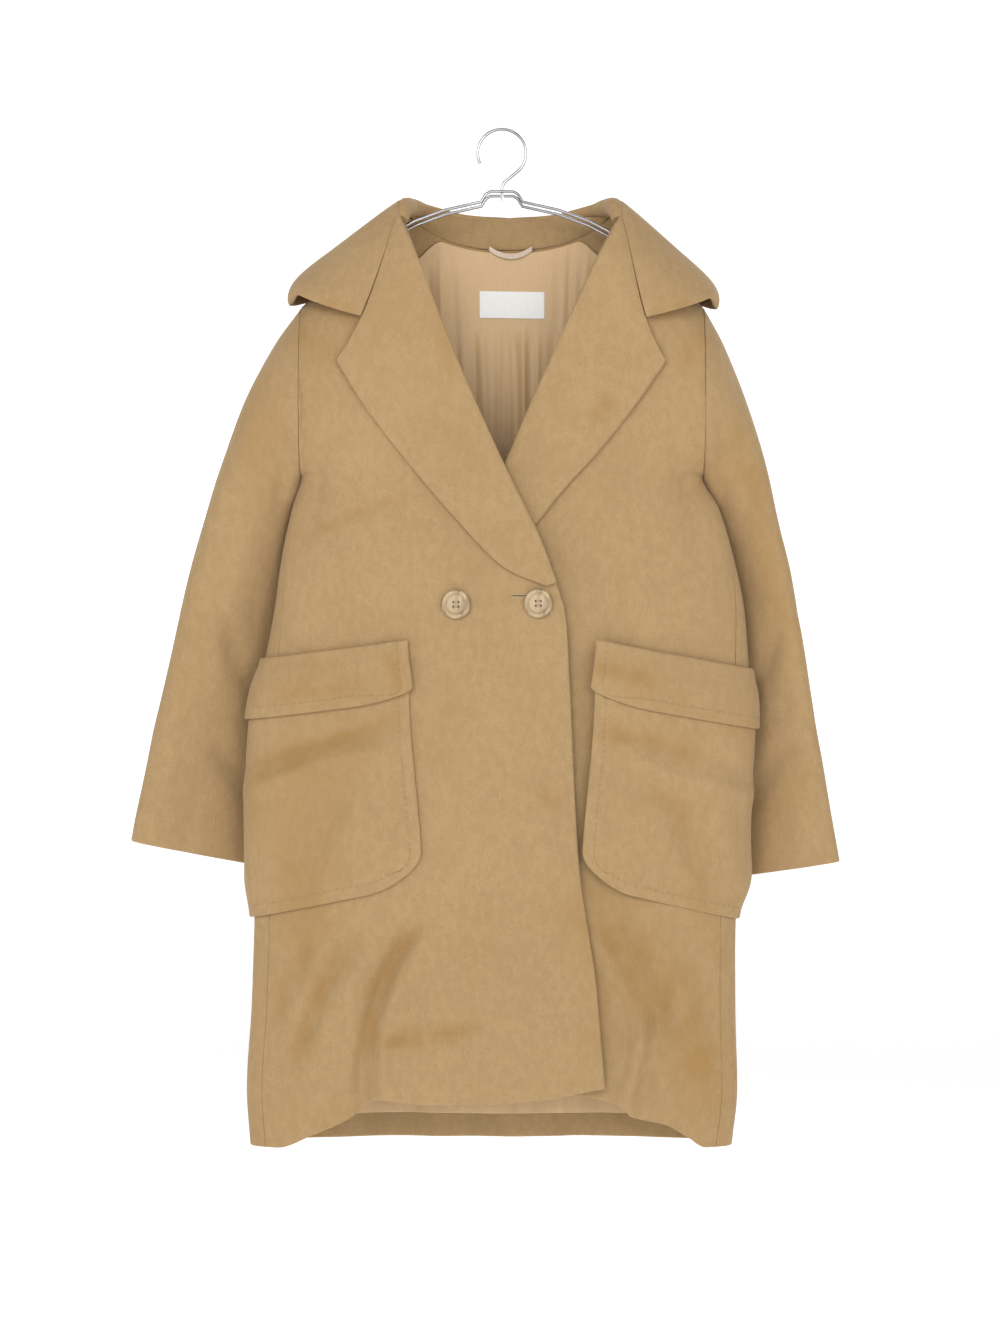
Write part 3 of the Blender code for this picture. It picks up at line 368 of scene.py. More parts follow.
# Finer creases, added to the form's own folds: ridges above 0 and troughs below
FRONT_RIGHT_CREASES = (
    Fold(-98, -850, -136, -930, 9, -5.6), Fold(-136, -930, -148, -1030, 9, -5.2),
    Fold(-80, -846, -116, -925, 13, 4.4), Fold(-116, -915, -126, -1015, 14, 4.8),
    Fold(-167, -867, -216, -971, 9, -4.0), Fold(-150, -880, -196, -985, 11, 3.0),
    Fold(-206, -858, -237, -937, 9, -3.0), Fold(-112, -962, -40, -950, 6, -2.2),
    Fold(-30, -900, -60, -1000, 16, -1.8), Fold(-10, -940, -24, -1020, 14, 1.8),
    Fold(-196, -426, -150, -408, 5, -1.0), Fold(-150, -408, -103, -391, 4, -1.1),
    Fold(-104, -362, -104, -408, 5, -0.9), Fold(-190, -330, -206, -430, 12, -2.0),
    Fold(-60, -560, -40, -800, 40, 1.0), Fold(20, -840, 30, -1000, 22, -1.6),
)
FRONT_LEFT_CREASES = (
    Fold(150, -950, 128, -1032, 9, 5.0), Fold(166, -930, 146, -1034, 9, -3.4),
    Fold(118, -830, 190, -1010, 14, -3.6), Fold(150, -840, 216, -980, 14, 3.2),
    Fold(98, -850, 150, -960, 12, 2.2), Fold(192, -330, 206, -440, 12, -2.0),
    Fold(150, -430, 186, -520, 16, -1.6), Fold(96, -420, 130, -520, 20, 1.4),
)
BACK_CREASES = (
    Fold(-130, -380, -66, -560, 15, -2.6), Fold(134, -380, 74, -570, 16, -2.6),
    Fold(-160, -400, -112, -700, 18, 2.6), Fold(158, -420, 118, -720, 20, 2.4),
    Fold(-40, -560, -72, -1060, 17, -2.8), Fold(-10, -640, -30, -1066, 20, 3.2),
    Fold(64, -600, 82, -1070, 16, 4.0), Fold(104, -660, 122, -1060, 15, -2.6),
    Fold(-190, -640, -172, -1040, 16, -2.6), Fold(186, -660, 198, -1040, 14, 3.0),
)
LINING_CREASES = (
    Fold(12, -205, 16, -420, 3.2, -3.0), Fold(24, -210, 22, -440, 4.0, 3.0),
    Fold(-22, -150, -14, -400, 5.0, 1.6), Fold(-52, -150, -40, -380, 5.0, -1.6),
    Fold(58, -150, 52, -390, 5.0, -1.8), Fold(80, -160, 70, -330, 6.0, 1.4),
    Fold(-84, -170, -70, -330, 6.0, 1.2), Fold(-8, -330, -30, -620, 8.0, -1.8),
    Fold(40, -330, 60, -640, 8.0, 1.6), Fold(-120, -900, -110, -1036, 7.0, 2.2),
    Fold(-70, -900, -64, -1036, 6.0, -2.0), Fold(-20, -900, -14, -1036, 7.0, 2.0),
    Fold(36, -900, 40, -1036, 6.0, -2.2), Fold(88, -900, 84, -1036, 7.0, 2.0),
    Fold(-66, -140, -60, -300, 3.4, 1.4), Fold(-44, -230, -38, -360, 3.2, 1.4),
    Fold(-30, -220, -26, -380, 3.0, -1.3), Fold(64, -190, 56, -340, 3.4, 1.5),
    Fold(74, -140, 70, -280, 3.2, -1.4), Fold(38, -215, 36, -420, 3.0, 1.4),
    Fold(2, -215, 4, -400, 3.0, -1.3), Fold(-8, -215, -10, -360, 2.8, 1.1),
    Fold(-78, -150, -74, -280, 3.2, -1.4), Fold(92, -140, 84, -260, 3.4, 1.2),
    Fold(-95, -1000, -92, -1046, 4.5, -1.8), Fold(-44, -1000, -42, -1046, 4.0, 1.8),
    Fold(10, -1000, 12, -1046, 4.0, -1.8), Fold(62, -1000, 64, -1046, 4.5, 1.8),
)
POCKET_RIGHT_CREASES = (
    Fold(-252, -692, -122, -652, 11, 4.2), Fold(-258, -668, -128, -628, 6, -1.0),
    Fold(-150, -706, -186, -792, 13, 2.6), Fold(-166, -712, -204, -794, 8, -1.2),
    Fold(-236, -700, -250, -800, 14, 2.0), Fold(-108, -660, -104, -760, 12, 1.2),
)
POCKET_LEFT_CREASES = (
    Fold(250, -704, 132, -664, 12, 3.6), Fold(254, -676, 140, -640, 7, -1.0),
    Fold(160, -716, 196, -800, 14, 2.4), Fold(178, -710, 212, -800, 8, -1.2),
    Fold(236, -706, 248, -800, 14, 2.0), Fold(110, -660, 104, -760, 12, 1.2),
)
# Sleeve creases, for the wearer's right; the left sleeve has them mirrored
TOP_SLEEVE_CREASES = (
    Fold(-300, -520, -262, -600, 12, -2.6), Fold(-308, -652, -268, -704, 11, -2.4),
    Fold(-250, -330, -290, -440, 14, -2.2), Fold(-270, -420, -300, -560, 16, 2.0),
    Fold(-352, -640, -366, -740, 14, 1.8), Fold(-318, -700, -340, -770, 10, -1.8),
    Fold(-228, -300, -236, -400, 9, -2.4),
)

# Warmer, darker marks: where the nap is stroked the other way, and painted shade along crease troughs and
# under the flaps
NAP_AND_SHADE_MARKS = (
    Fold(-119, -966, -39, -948, 9, 1.0), Fold(-92, -846, -128, -902, 12, 0.8),
    Fold(-128, -902, -144, -970, 11, 0.8), Fold(-167, -867, -216, -971, 13, 0.75),
    Fold(-206, -858, -237, -937, 12, 0.6), Fold(105, -815, 218, -1015, 34, 0.9),
    Fold(-250, -671, -127, -629, 8, 1.0), Fold(-262, -690, -214, -668, 10, 0.6),
    Fold(112, -636, 200, -662, 11, 0.8), Fold(150, -700, 196, -724, 13, 0.5),
    Fold(252, -330, 300, -520, 15, 0.6), Fold(-216, -215, -184, -252, 14, 0.55),
    Fold(216, -215, 190, -260, 14, 0.55), Fold(-120, -556, -104, -592, 9, 0.7),
    Fold(98, -566, 152, -586, 10, 0.75), Fold(-196, -426, -103, -391, 5, 0.5),
    Fold(-72, -190, -52, -262, 10, 0.45), Fold(114, -286, 100, -312, 8, 0.6),
    Fold(40, -700, 62, -712, 8, 0.4), Fold(-68, -760, -56, -778, 8, 0.5),
    Fold(-190, -190, -150, -205, 9, 0.6), Fold(196, -188, 158, -205, 9, 0.6),
    Fold(-250, -600, -140, -586, 8, 0.5), Fold(190, -740, 230, -880, 16, 0.4),
)
# The back's marks: nap, and painted shade along its crease troughs
BACK_NAP_AND_SHADE_MARKS = (
    Fold(-120, -330, -70, -500, 16, 0.6), Fold(130, -330, 80, -520, 18, 0.6),
    Fold(-46, -760, -72, -1030, 20, 0.7), Fold(104, -780, 122, -1040, 18, 0.6),
    Fold(-186, -800, -174, -1000, 14, 0.6), Fold(40, -470, 96, -500, 12, 0.4),
    Fold(-300, -420, -330, -600, 15, 0.5), Fold(280, -400, 312, -580, 15, 0.5),
)

# How creases run and fade, and the slow waves over wide cloth: their lengths, bends and starts
CREASE_SWAY = 0.25
CREASE_SWAY_TURN = 5.0
CREASE_FADE = 0.5
CREASE_SHOW = 1.7
UNEVEN = 1.2
WAVE_ACROSS, WAVE_ACROSS_BEND, WAVE_ACROSS_SWAY = 47, 131, 1.7
WAVE_UP, WAVE_UP_BEND, WAVE_UP_SWAY = 83, 71, 1.3
RIPPLE_ACROSS, RIPPLE_UP, RIPPLE_BEND, RIPPLE_SWAY, RIPPLE_SHARE = 23, 37, 61, 2.1, 0.6
PHASES = {"front_right": 0.4, "front_left": 2.2, "back": 1.1, "sleeve": 0.7, "pocket": 0.3, "lining": 1.9}

# Nap marks with painted shade, stitching with painted shade in its groove, seams, the collar's rounded fold,
# and where the lining lies flat behind the label
NAP_AND_SHADE_SHOW = 0.80
FRONT_BACK_BLEND = 30.0
STITCH_IN = 12.0
STITCH_WIDTH = 1.8
STITCH_STEP = 7.0
# painted shade in the stitch groove and its pick-stitch dimples
STITCH_SHADE = 0.07
STITCH_GAP = (-0.2, 0.8)
GROOVE_SHARE = 0.5
FAR = 1000.0
SEAM_RADIUS = 1.2
SEAM_SHARE = 0.12
UNDERARM_TUCK = 4.0
UNDERARM_TUCK_Z = -386.0
UNDERARM_REACH = 16.0
FOLD_ROUND = 4.4
FOLD_SWELL = 1.4
FOLD_SWELL_AT = 0.70
FOLD_SWELL_REACH = 0.26
FOLD_STEPS = 120
LABEL_FLAT_Z = -200.0
LABEL_CLEAR = 42.0
LABEL_CLEAR_FADE = 24.0
LINING_SLACK = 2.2
TAPE_CUT = 0.012

# Colours, linear
WOOL_SHADE = ((0.410, 0.273, 0.134), (0.365, 0.238, 0.114))
# warmer, darker wool for the nap marks, which are partly painted shade in crease troughs and under the flaps
WOOL_NAP_AND_SHADE = (0.322, 0.186, 0.065)
LINING_COLOUR = (0.620, 0.415, 0.216)
LABEL_COLOUR = (0.880, 0.870, 0.840)
TAPE_COLOUR = (0.560, 0.440, 0.320)
HORN_LIGHT, HORN_DARK = (0.47, 0.35, 0.20), (0.25, 0.17, 0.085)
# near-black painted shade for the button holes and the buttonhole's slit
HOLE_SHADE = (0.05, 0.035, 0.02)
THREAD_COLOUR = (0.40, 0.28, 0.15)
WIRE_COLOUR = (0.40, 0.40, 0.42)

# Noise in the materials: how fine, how detailed, how stretched, and the range that shows
Pattern = namedtuple("Pattern", "scale detail stretch low high", defaults=(0.0, 1.0))
CLOUD = Pattern(11, 5, (1, 1, 1), 0.2, 0.8)
MOTTLE = Pattern(140, 5, (1, 1, 0.6), 0.36, 0.66)
FIBRE = Pattern(760, 4, (1, 1, 0.5), 0.40, 0.72)
FELT = Pattern(150, 3, (1, 1, 1))
SMEAR = Pattern(7, 6, (1, 1, 0.7), 0.52, 0.74)
RAGGED = Pattern(44, 6, (1, 1, 0.6), 0.30, 0.66)
HORN_CLOUD = Pattern(140, 4, (1, 0.3, 1), 0.35, 0.68)
LINING_WEAVE, LABEL_WEAVE, TAPE_WEAVE = (
    Pattern(scale, 3, (1, 1, 0.12), 0.35, 0.65) for scale in (900, 1400, 1200)
)
MOTTLE_SHARE = 0.3
SPECK_DARK = 0.80
FIBRE_SHOW = 0.40
SMEAR_SHOW = 0.55
RAGGED_SHOW, RAGGED_BASE = 0.8, 0.4
WEAVE_DARK = 0.94
# Depth in metres and strength of the relief in the materials
FIBRE_BUMP = (0.0009, 0.6)
FELT_BUMP = (0.0012, 0.30)
STITCH_BUMP = (0.0009, 0.6)
WEAVE_BUMP = (0.0002, 0.15)

# Studio
CAMERA_Y, CAMERA_X, CAMERA_Z = -3.54, -0.002, -0.569
LENS, SENSOR = 120, 36
FLOOR_Z = -1500.0
SWEEP = 1500.0
SWEEP_STEPS = 12
WALL_RADIUS = 9000.0
WALL_TOP = 4500.0
WALL_STEPS = 96
PAPER_COLOUR = (0.93, 0.93, 0.93, 1)
PAPER_GLOW = 0.43
WORLD_LIGHT = 0.28
Lamp = namedtuple("Lamp", "name x y z size power")
LAMPS = (
    Lamp("key", -1.0, -3.0, 0.8, 1.2, 30),
    Lamp("fill", 0.9, -3.3, 0.0, 1.6, 20),
    Lamp("top", 0.0, -0.4, 1.9, 1.6, 7),
    Lamp("back", 0.9, 2.8, 0.9, 2.0, 30),
)


def mix(a, b, f):
    return a + (b - a) * f


def ease(low, high, value):
    """0 below low, 1 above high, smooth between."""
    f = min(1.0, max(0.0, (value - low) / (high - low)))
    return f * f * (3 - 2 * f)


def along(table, key, column, at):
    """A column's value where the key column is `at`, on a smooth curve through the table's rows."""
    keys = [getattr(row, key) for row in table]
    values = [getattr(row, column) for row in table]
    if keys[0] > keys[-1]:
        keys.reverse()
        values.reverse()
    if at <= keys[0]:
        return values[0]
    if at >= keys[-1]:
        return values[-1]
    last = len(keys) - 1
    i = max(k for k in range(last) if keys[k] <= at)
    steps = [(values[k + 1] - values[k]) / (keys[k + 1] - keys[k]) for k in range(last)]

    def slope(k):
        if k in (0, last):
            return steps[min(k, last - 1)]
        before, after = steps[k - 1], steps[k]
        if before * after <= 0:
            return 0.0
        return 2 * before * after / (before + after)

    width = keys[i + 1] - keys[i]
    f = (at - keys[i]) / width
    start = (1 + 2 * f) * (1 - f) ** 2 * values[i] + f * (1 - f) ** 2 * width * slope(i)
    end = f * f * (3 - 2 * f) * values[i + 1] - f * f * (1 - f) * width * slope(i + 1)
    return start + end


@lru_cache(maxsize=None)
def row_at(table, t):
    """A row of a table's values at t."""
    return type(table[0])(*(along(table, "t", name, t) for name in table[0]._fields))


def shoulder_z(x):
    """Height of the shoulder line, carried on past the neck points and the tips."""
    left = NECK_Z - LEFT_SLOPE * (NECK_LEFT_X - x)
    right = NECK_Z - RIGHT_SLOPE * (x - NECK_RIGHT_X)
    return min(left, right)


def neck_z(x):
    """Top edge of the back: the shoulder line, with the neck's dip between the neck points."""
    across = abs(x - NECK_MID_X) / NECK_HALF
    if across >= 1:
        return shoulder_z(x)
    return NECK_Z + (NECK_BACK_Z - NECK_Z) * (1 - across ** NECK_POWER)


def side_depth(z):
    """Half the armhole's opening at a level, nothing below the underarm."""
    if z >= ARMHOLE_MID_Z:
        return ARMHOLE_DEPTH
    drop = (ARMHOLE_MID_Z - z) / ARMHOLE_RISE
    return ARMHOLE_DEPTH * sqrt(max(0.0, 1 - drop * drop))


def shoulder_round(x, z):
    """How far the body has swelled to its full depth below the shoulder line, 0 to 1."""
    drop = min(1.0, max(0.0, (shoulder_z(x) - z) / ARMHOLE_RISE))
    return sqrt(1 - (1 - drop) ** 2)


def place_by(fold, x, z):
    """How far along a fold a place lies, as a share of its length, and how far off its line."""
    run_x, run_z = fold.x1 - fold.x0, fold.z1 - fold.z0
    length = hypot(run_x, run_z)
    f = ((x - fold.x0) * run_x + (z - fold.z0) * run_z) / length ** 2
    return f, ((x - fold.x0) * run_z - (z - fold.z0) * run_x) / length


def folds(table, x, z):
    """Height of a panel's soft folds: each rises to its middle and fades at its ends."""
    total = 0.0
    for fold in table:
        f, off = place_by(fold, x, z)
        if -FOLD_PAST < f < 1 + FOLD_PAST:
            fade = ease(-FOLD_PAST, FOLD_FULL[0], f) * (1 - ease(FOLD_FULL[1], 1 + FOLD_PAST, f))
            total += fold.height * fade * exp(-((off / fold.width) ** 2))
    return total


@lru_cache(maxsize=None)
def section(z):
    """Middle, half width and the two powers of the body's section at a level."""
    left = along(BODY_LEVELS, "z", "left_x", z)
    right = along(BODY_LEVELS, "z", "right_x", z)
    across = mix(ROUND_POWER, UNDERARM_POWER, ease(ROUND_STEADY_Z, UNDERARM_Z, z))
    down = mix(across, CHEST_POWER, ease(UNDERARM_Z, ARMHOLE_MID_Z, z))
    return (left + right) / 2, (right - left) / 2, across, down


def depth(x, z, column):
    """The body's depth ahead of or behind the side line, from the front or back column."""
    middle, half, across, down = section(z)
    u = min(1.0, abs(x - middle) / half)
    crown = max(0.0, 1 - u ** across) ** (1 / down)
    full = along(BODY_LEVELS, "z", column, z) * crown
    full += side_depth(z) * (1 - crown) * u ** ARMHOLE_SPREAD
    table = FRONT_FOLDS if column == "front" else BACK_FOLDS
    return shoulder_round(x, z) * full + folds(table, x, z) * (1 - u ** FOLD_SIDE_FADE)


def angle_at(x, z):
    """The angle round the section at x on the front, 0 in the middle and a quarter turn at the sides."""
    middle, half, across, _ = section(z)
    u = max(-1.0, min(1.0, (x - middle) / half))
    return copysign(asin(abs(u) ** (across / 2)), u)


def x_at(angle, z):
    middle, half, across, _ = section(z)
    turn = sin(angle)
    return middle + half * copysign(abs(turn) ** (2 / across), turn)


def on_body(angle, z):
    """A point of the body form, by the angle round its section: the front, the sides, then the back."""
    x = x_at(angle, z)
    if abs(angle) <= pi / 2:
        return Vector((x, -depth(x, z, "front"), z))
    return Vector((x, depth(x, z, "back"), z))


def moved_along(angle, z, distance):
    """The angle that lies a small distance further round the body."""
    here = on_body(angle, z)
    low, high = 0.0, MOST_TURN
    for _ in range(HALVINGS):
        middle = (low + high) / 2
        if (on_body(angle + copysign(middle, distance), z) - here).length < abs(distance):
            low = middle
        else:
            high = middle
    return angle + copysign(low, distance)


@lru_cache(maxsize=None)
def seam_angle(side, z, gap):
    """The side seam's angle, ahead of the side line, with half a seam's gap to the front or the back."""
    forward = SEAM_FORWARD * (1 - ease(SEAM_STEADY_Z, UNDERARM_Z, z))
    middle, half, _, _ = section(z)
    angle = angle_at(middle + side * (half - forward), z)
    if z > UNDERARM_Z + GAP:
        return side * pi / 2
    return moved_along(angle, z, gap)


def row_z(t, hem_z, top_z):
    """Height of a panel's row: even from the hem to the underarm, then round the armhole to the top."""
    if t <= ROW_SPLIT:
        return mix(hem_z, UNDERARM_Z, t / ROW_SPLIT)
    turn = pi * (1 - t) / (1 - ROW_SPLIT)
    return mix(top_z, UNDERARM_Z, (1 - cos(turn)) / 2)


def front_row(x, t, hem):
    return row_z(t, along(hem, "x", "z", x), shoulder_z(x))


@lru_cache(maxsize=None)
def edge_point(edge, hem, t):
    """Where a front panel's row meets the front edge or the roll line."""
    x = along(edge, "z", "x", UNDERARM_Z)
    for _ in range(EDGE_TRIES):
        z = front_row(x, t, hem)
        x = mix(x, along(edge, "z", "x", z), EDGE_STEP)
    return x


def under_depth(x, z):
    """Depth of the under front, which drops behind the over front where they lap."""
    lap = x - along(OVER_EDGE, "z", "x", z)
    layer = UNDER_LAYER * (1 - ease(UNDER_LAYER_FLAT, UNDER_LAYER_FLAT + UNDER_LAYER_RISE, lap))
    swell = shoulder_round(x, z)
    return depth(x, z, "front") - layer * swell


def over_depth(x, z):
    return depth(x, z, "front")


def back_depth(x, z):
    return depth(x, z, "back")


def lifted(x, z, depth_of, facing, distance):
    """A point on a front (facing -1) or the back (1), moved out along the form's normal."""
    step = 0.5
    out = depth_of(x, z)
    slope_x = (depth_of(x + step, z) - depth_of(x - step, z)) / (2 * step)
    slope_z = (depth_of(x, z + step) - depth_of(x, z - step)) / (2 * step)
    normal = Vector((-slope_x, facing, -slope_z)).normalized()
    return Vector((x, facing * out, z)) + normal * distance


def rounded_corner(s, t, corner):
    """A square's point moved so that the corner at s = 1, t = 0 becomes a quarter circle."""
    across = (s - (1 - corner)) / corner
    down = (corner - t) / corner
    if across <= 0 or down <= 0:
        return s, t
    shrink = max(across, down) / hypot(across, down)
    return 1 - corner + across * shrink * corner, corner - down * shrink * corner


def front_panel(side, edge, hem, depth_of):
    """Surface of a front, from its front edge or roll line to the side seam and armhole."""
    seam_x = side * (ARMHOLE_X + SEAM_FORWARD)

    def surface(s, t):
        inner_x = edge_point(edge, hem, t)
        inner_z = front_row(inner_x, t, hem)
        outer_z = front_row(seam_x if t <= ROW_SPLIT else side * ARMHOLE_X, t, hem)
        f = s if side > 0 else 1 - s
        angle = mix(angle_at(inner_x, inner_z), seam_angle(side, outer_z, -side * SIDE_SEAM_GAP / 2), f)
        x = x_at(angle, mix(inner_z, outer_z, f))
        z = outer_z if f == 1 else front_row(x, t, hem)
        x = x_at(angle, z)
        return Vector((x, -depth_of(x, z), z))

    return surface


def trim_panel(facing):
    """Keeps a front (facing -1) or the back (1) inside the armholes and on its side of the shoulder seam."""

    def trim(point, s, t):
        x = max(-ARMHOLE_X, min(ARMHOLE_X, point.x)) if t >= ROW_SPLIT else point.x
        y = facing * max(facing * point.y, GAP / 2) if t >= 1 else point.y
        return Vector((x, y, point.z))

    return trim


def back_panel(s, t):
    """Surface of the back, from the left side seam round behind to the right one."""
    low_z = row_z(min(t, ROW_SPLIT), HEM_Z, UNDERARM_Z)
    start = seam_angle(1, low_z, SIDE_SEAM_GAP / 2)
    end = 2 * pi + seam_angle(-1, low_z, -SIDE_SEAM_GAP / 2)
    turn = mix(start, end, s)
    angle = turn if turn <= pi else turn - 2 * pi
    if t <= ROW_SPLIT:
        return on_body(angle, low_z)
    knots = (
        (0.0, ARMHOLE_X), (NECK_SHARE, NECK_RIGHT_X), (1 - NECK_SHARE, NECK_LEFT_X), (1.0, -ARMHOLE_X),
    )
    k = max(i for i in range(3) if knots[i][0] <= s or i == 0)
    fitted = mix(knots[k][1], knots[k + 1][1], (s - knots[k][0]) / (knots[k + 1][0] - knots[k][0]))
    x = mix(x_at(angle, UNDERARM_Z), fitted, ease(ROW_SPLIT, 1.0, t))
    z = row_z(t, HEM_Z, neck_z(x))
    return Vector((x, depth(x, z, "back"), z))


def ring_point(rings, t, angle):
    """A point of a sleeve: 0 degrees on its outer edge, 90 behind, 180 on its inner edge."""
    ring = row_at(rings, t)
    outer = Vector((ring.outer_x, ring.outer_y, ring.outer_z))
    inner = Vector((ring.inner_x, ring.inner_y, ring.inner_z))
    half = (outer - inner) / 2
    behind = Vector((0, 1, 0))
    behind = (behind - half * (behind.dot(half) / half.length_squared)).normalized()
    power = 2 / ring.power
    across = copysign(abs(cos(angle)) ** power, cos(angle))
    back = copysign(abs(sin(angle)) ** power, sin(angle))
    return (outer + inner) / 2 + half * across + behind * ring.depth * back


def sleeve_half(rings, side, arc):
    start, end = (radians(a) for a in arc)
    gap = radians(SLEEVE_SEAM_GAP)
    start, end = (start - gap, end + gap) if start > end else (start + gap, end - gap)

    def surface(s, t):
        f = s if side < 0 else 1 - s
        point = ring_point(rings, 1 - t, mix(start, end, f))
        point.x += side * GAP
        return point

    def trim(point, s, t):
        x = side * max(side * point.x, ARMHOLE_X + GAP)
        return Vector((x, point.y, point.z))

    return surface, trim


def lapel_xz(table, side, t, f):
    """Where a lapel's point lies across its front: f runs from the roll line to the outer edge."""
    row = row_at(table, t)
    bow = side * LAPEL_BOW * BOW_SCALE * f * f * (1 - f) * t ** LAPEL_BOW_FADE
    return mix(row.roll_x, row.edge_x, f) - bow, mix(row.roll_z, row.edge_z, f)


def lapel(table, side, depth_of, roll_height):
    """Surface of a lapel, laid on its front: from its roll line to its outer edge."""

    def surface(s, t):
        f = s if side > 0 else 1 - s
        t = 1 - (1 - t) ** LAPEL_CROWDING
        x, z = lapel_xz(table, side, t, f)
        row = row_at(table, t)
        width = abs(row.roll_x - row.edge_x)
        roll = roll_height * exp(-((f * width / LAPEL_ROLL_WIDTH) ** 2))
        lift = LAPEL_LIFT + LAPEL_TOP_LIFT * ease(LAPEL_TOP_START, 1.0, t)
        return lifted(x, z, depth_of, -1, lift + LAPEL_CLOTH + roll)

    return surface


def collar_x(from_middle, side):
    """World x of a collar distance, with the reach past the neck point stretched for each side."""
    reach = COLLAR_LEFT_REACH if side < 0 else COLLAR_RIGHT_REACH
    past = max(0.0, from_middle - NECK_HALF) * reach
    return NECK_MID_X + side * (min(from_middle, NECK_HALF) + past)


def collar_at(s):
    """Which side of the collar and how far towards its front end."""
    side = 1 if s < 0.5 else -1
    return side, abs(1 - 2 * s)


def over_shoulder(x, turn, lift):
    """A point above the shoulders: turn is 0 on the shoulder line and a quarter turn at full depth."""
    past = max(0.0, abs(turn) - pi / 2)
    bend = copysign(min(abs(turn), pi / 2), turn)
    y = ARMHOLE_DEPTH * sin(bend)
    inside = NECK_HALF - abs(x - NECK_MID_X)
    ridge = NECK_Z + inside if inside > 0 else shoulder_z(x)
    z = ridge - ARMHOLE_RISE * (1 - cos(bend) + past)
    slope = LEFT_SLOPE if x < NECK_MID_X else -RIGHT_SLOPE
    up = cos(bend) / ARMHOLE_RISE
    normal = Vector((-slope * up, sin(bend) / ARMHOLE_DEPTH, up)).normalized()
    return Vector((x, y, z)) + normal * lift


def turn_of(x, z):
    """The angle over the shoulder line, on the front, at a height."""
    drop = (shoulder_z(x) - z) / ARMHOLE_RISE
    return -acos(1 - drop) if drop <= 1 else -(pi / 2 + drop - 1)


def collar_fold(side, at):
    """The collar's fold, then its gorge seam beside the lapel's top edge: x and turn there."""
    place = row_at(COLLAR, at)
    x = collar_x(place.fold_x, side)
    turn = radians(place.fold_turn)
    if at > GORGE_START:
        table = OVER_LAPEL if side < 0 else UNDER_LAPEL
        x, z = lapel_xz(table, side, 1, NOTCH * (at - GORGE_START) / (1 - GORGE_START))
        x += side * GORGE_GAP
        turn = turn_of(x, z)
    return x, turn


def even_drop(start, end, f):
    """The turn that lies a share of the way down between two turns on the front."""
    drop = mix(1 - cos(start), 1 - cos(end), f)
    return -acos(max(-1.0, 1 - drop))


def collar_fall(s, t):
    """The collar's fall, from its outer edge (t = 0) up to its fold (t = 1), seen from behind."""
    side, at = collar_at(s)
    at, t = rounded_corner(at, t, COLLAR_CORNER)
    place = row_at(COLLAR, at)
    fold_x, fold_turn = collar_fold(side, at)
    edge_x, edge_turn = collar_x(place.edge_x, side), radians(place.edge_turn)
    near = t / COLLAR_ROLL_AT
    lift = mix(place.edge_lift, place.fold_lift, t) + 4 * t * (1 - t) * place.crown
    lift += COLLAR_ROLL * ease(COLLAR_ROLL_START, COLLAR_ROLL_FULL, at) * near * exp(1 - near)
    turn = mix(edge_turn, fold_turn, t)
    if at > GORGE_START:
        turn = mix(turn, even_drop(edge_turn, fold_turn, t), ease(GORGE_START, 1.0, at))
    return over_shoulder(mix(edge_x, fold_x, t), turn, lift)


def collar_stand(s, t):
    """The collar's stand, from the back neck seam up to just inside the fold, seen from behind."""
    side, along_it = collar_at(s)
    at = along_it * STAND_END
    fold_x, fold_turn = collar_fold(side, at)
    lift = row_at(COLLAR, at).fold_lift - COLLAR_CLOTH - STAND_IN
    top = over_shoulder(fold_x, fold_turn, lift)
    x = NECK_MID_X + side * NECK_HALF * along_it
    z = neck_z(x) + GAP
    return Vector((x, depth(x, z, "back"), z)).lerp(top, t)


def trim_stand(point, s, t):
    if t > 0:
        return point
    return Vector((point.x, point.y, max(point.z, neck_z(point.x) + GAP)))


def side_patch(side, patch, slope):
    """Surface of a pocket or flap: on the front from its inner edge outwards, and on round the side."""

    def surface(s, t):
        f = 1 - s if side < 0 else s
        g, up = rounded_corner(1 - f, t, patch.corner)
        level = mix(patch.foot_z, patch.top_z, up)
        x_in = side * mix(patch.foot_x, patch.top_x, ease(patch.foot_z, patch.top_z, level))
        end = side * (pi / 2 + radians(SIDE_WRAP))
        angle = mix(angle_at(x_in, level), end, 1 - g)
        reach = abs(x_at(angle, level) - x_in) / (PATCH_SPAN - abs(x_in))
        z = level - slope * reach * ease(0.0, PATCH_DROP_OVER, reach + PATCH_DROP_AHEAD)
        lift = patch.cloth + mix(patch.top_lift, patch.foot_lift, 1 - ease(PATCH_LIE_START, 1.0, up))
        return on_body(angle, z) + patch_normal(angle, z) * lift

    return surface


def patch_normal(angle, z):
    """Outward normal of the body form at an angle round its section."""
    step, rise = 0.01, 1.0
    across = on_body(angle + step, z) - on_body(angle - step, z)
    up = on_body(angle, z + rise) - on_body(angle, z - rise)
    return across.cross(up).normalized()


def inside_back(x, z, distance):
    """A point inside the back, off the lining's outer face: the lining hangs looser further down."""
    loose = LINING_LOOSE * (1 - ease(LINING_LOOSE_Z, LINING_FIRM_Z, z))
    return lifted(x, z, back_depth, 1, -(LINING_IN + loose + distance))


def lining_surface(s, t):
    """The back lining's face that shows in the neck, seen from the front."""
    x = mix(-LINING_HALF, LINING_HALF, s)
    across = abs(x - NECK_MID_X) / NECK_HALF
    to_shoulder = ease(*LINING_NECK_END, across)
    top = neck_z(x) - mix(LINING_NECK_DROP, LINING_SHOULDER_DROP, to_shoulder)
    z = mix(LINING_HEM_Z, top, t)
    return inside_back(x * mix(LINING_HEM_FLARE, 1.0, t), z, LINING_CLOTH)


def label_surface(s, t):
    across = (s - 0.5) * LABEL_WIDTH
    x = LABEL_X + across
    z = LABEL_Z + (t - 0.5) * LABEL_HEIGHT - across * LABEL_TILT
    return inside_back(x, z, LINING_CLOTH + 2 * GAP + LABEL_CLOTH)


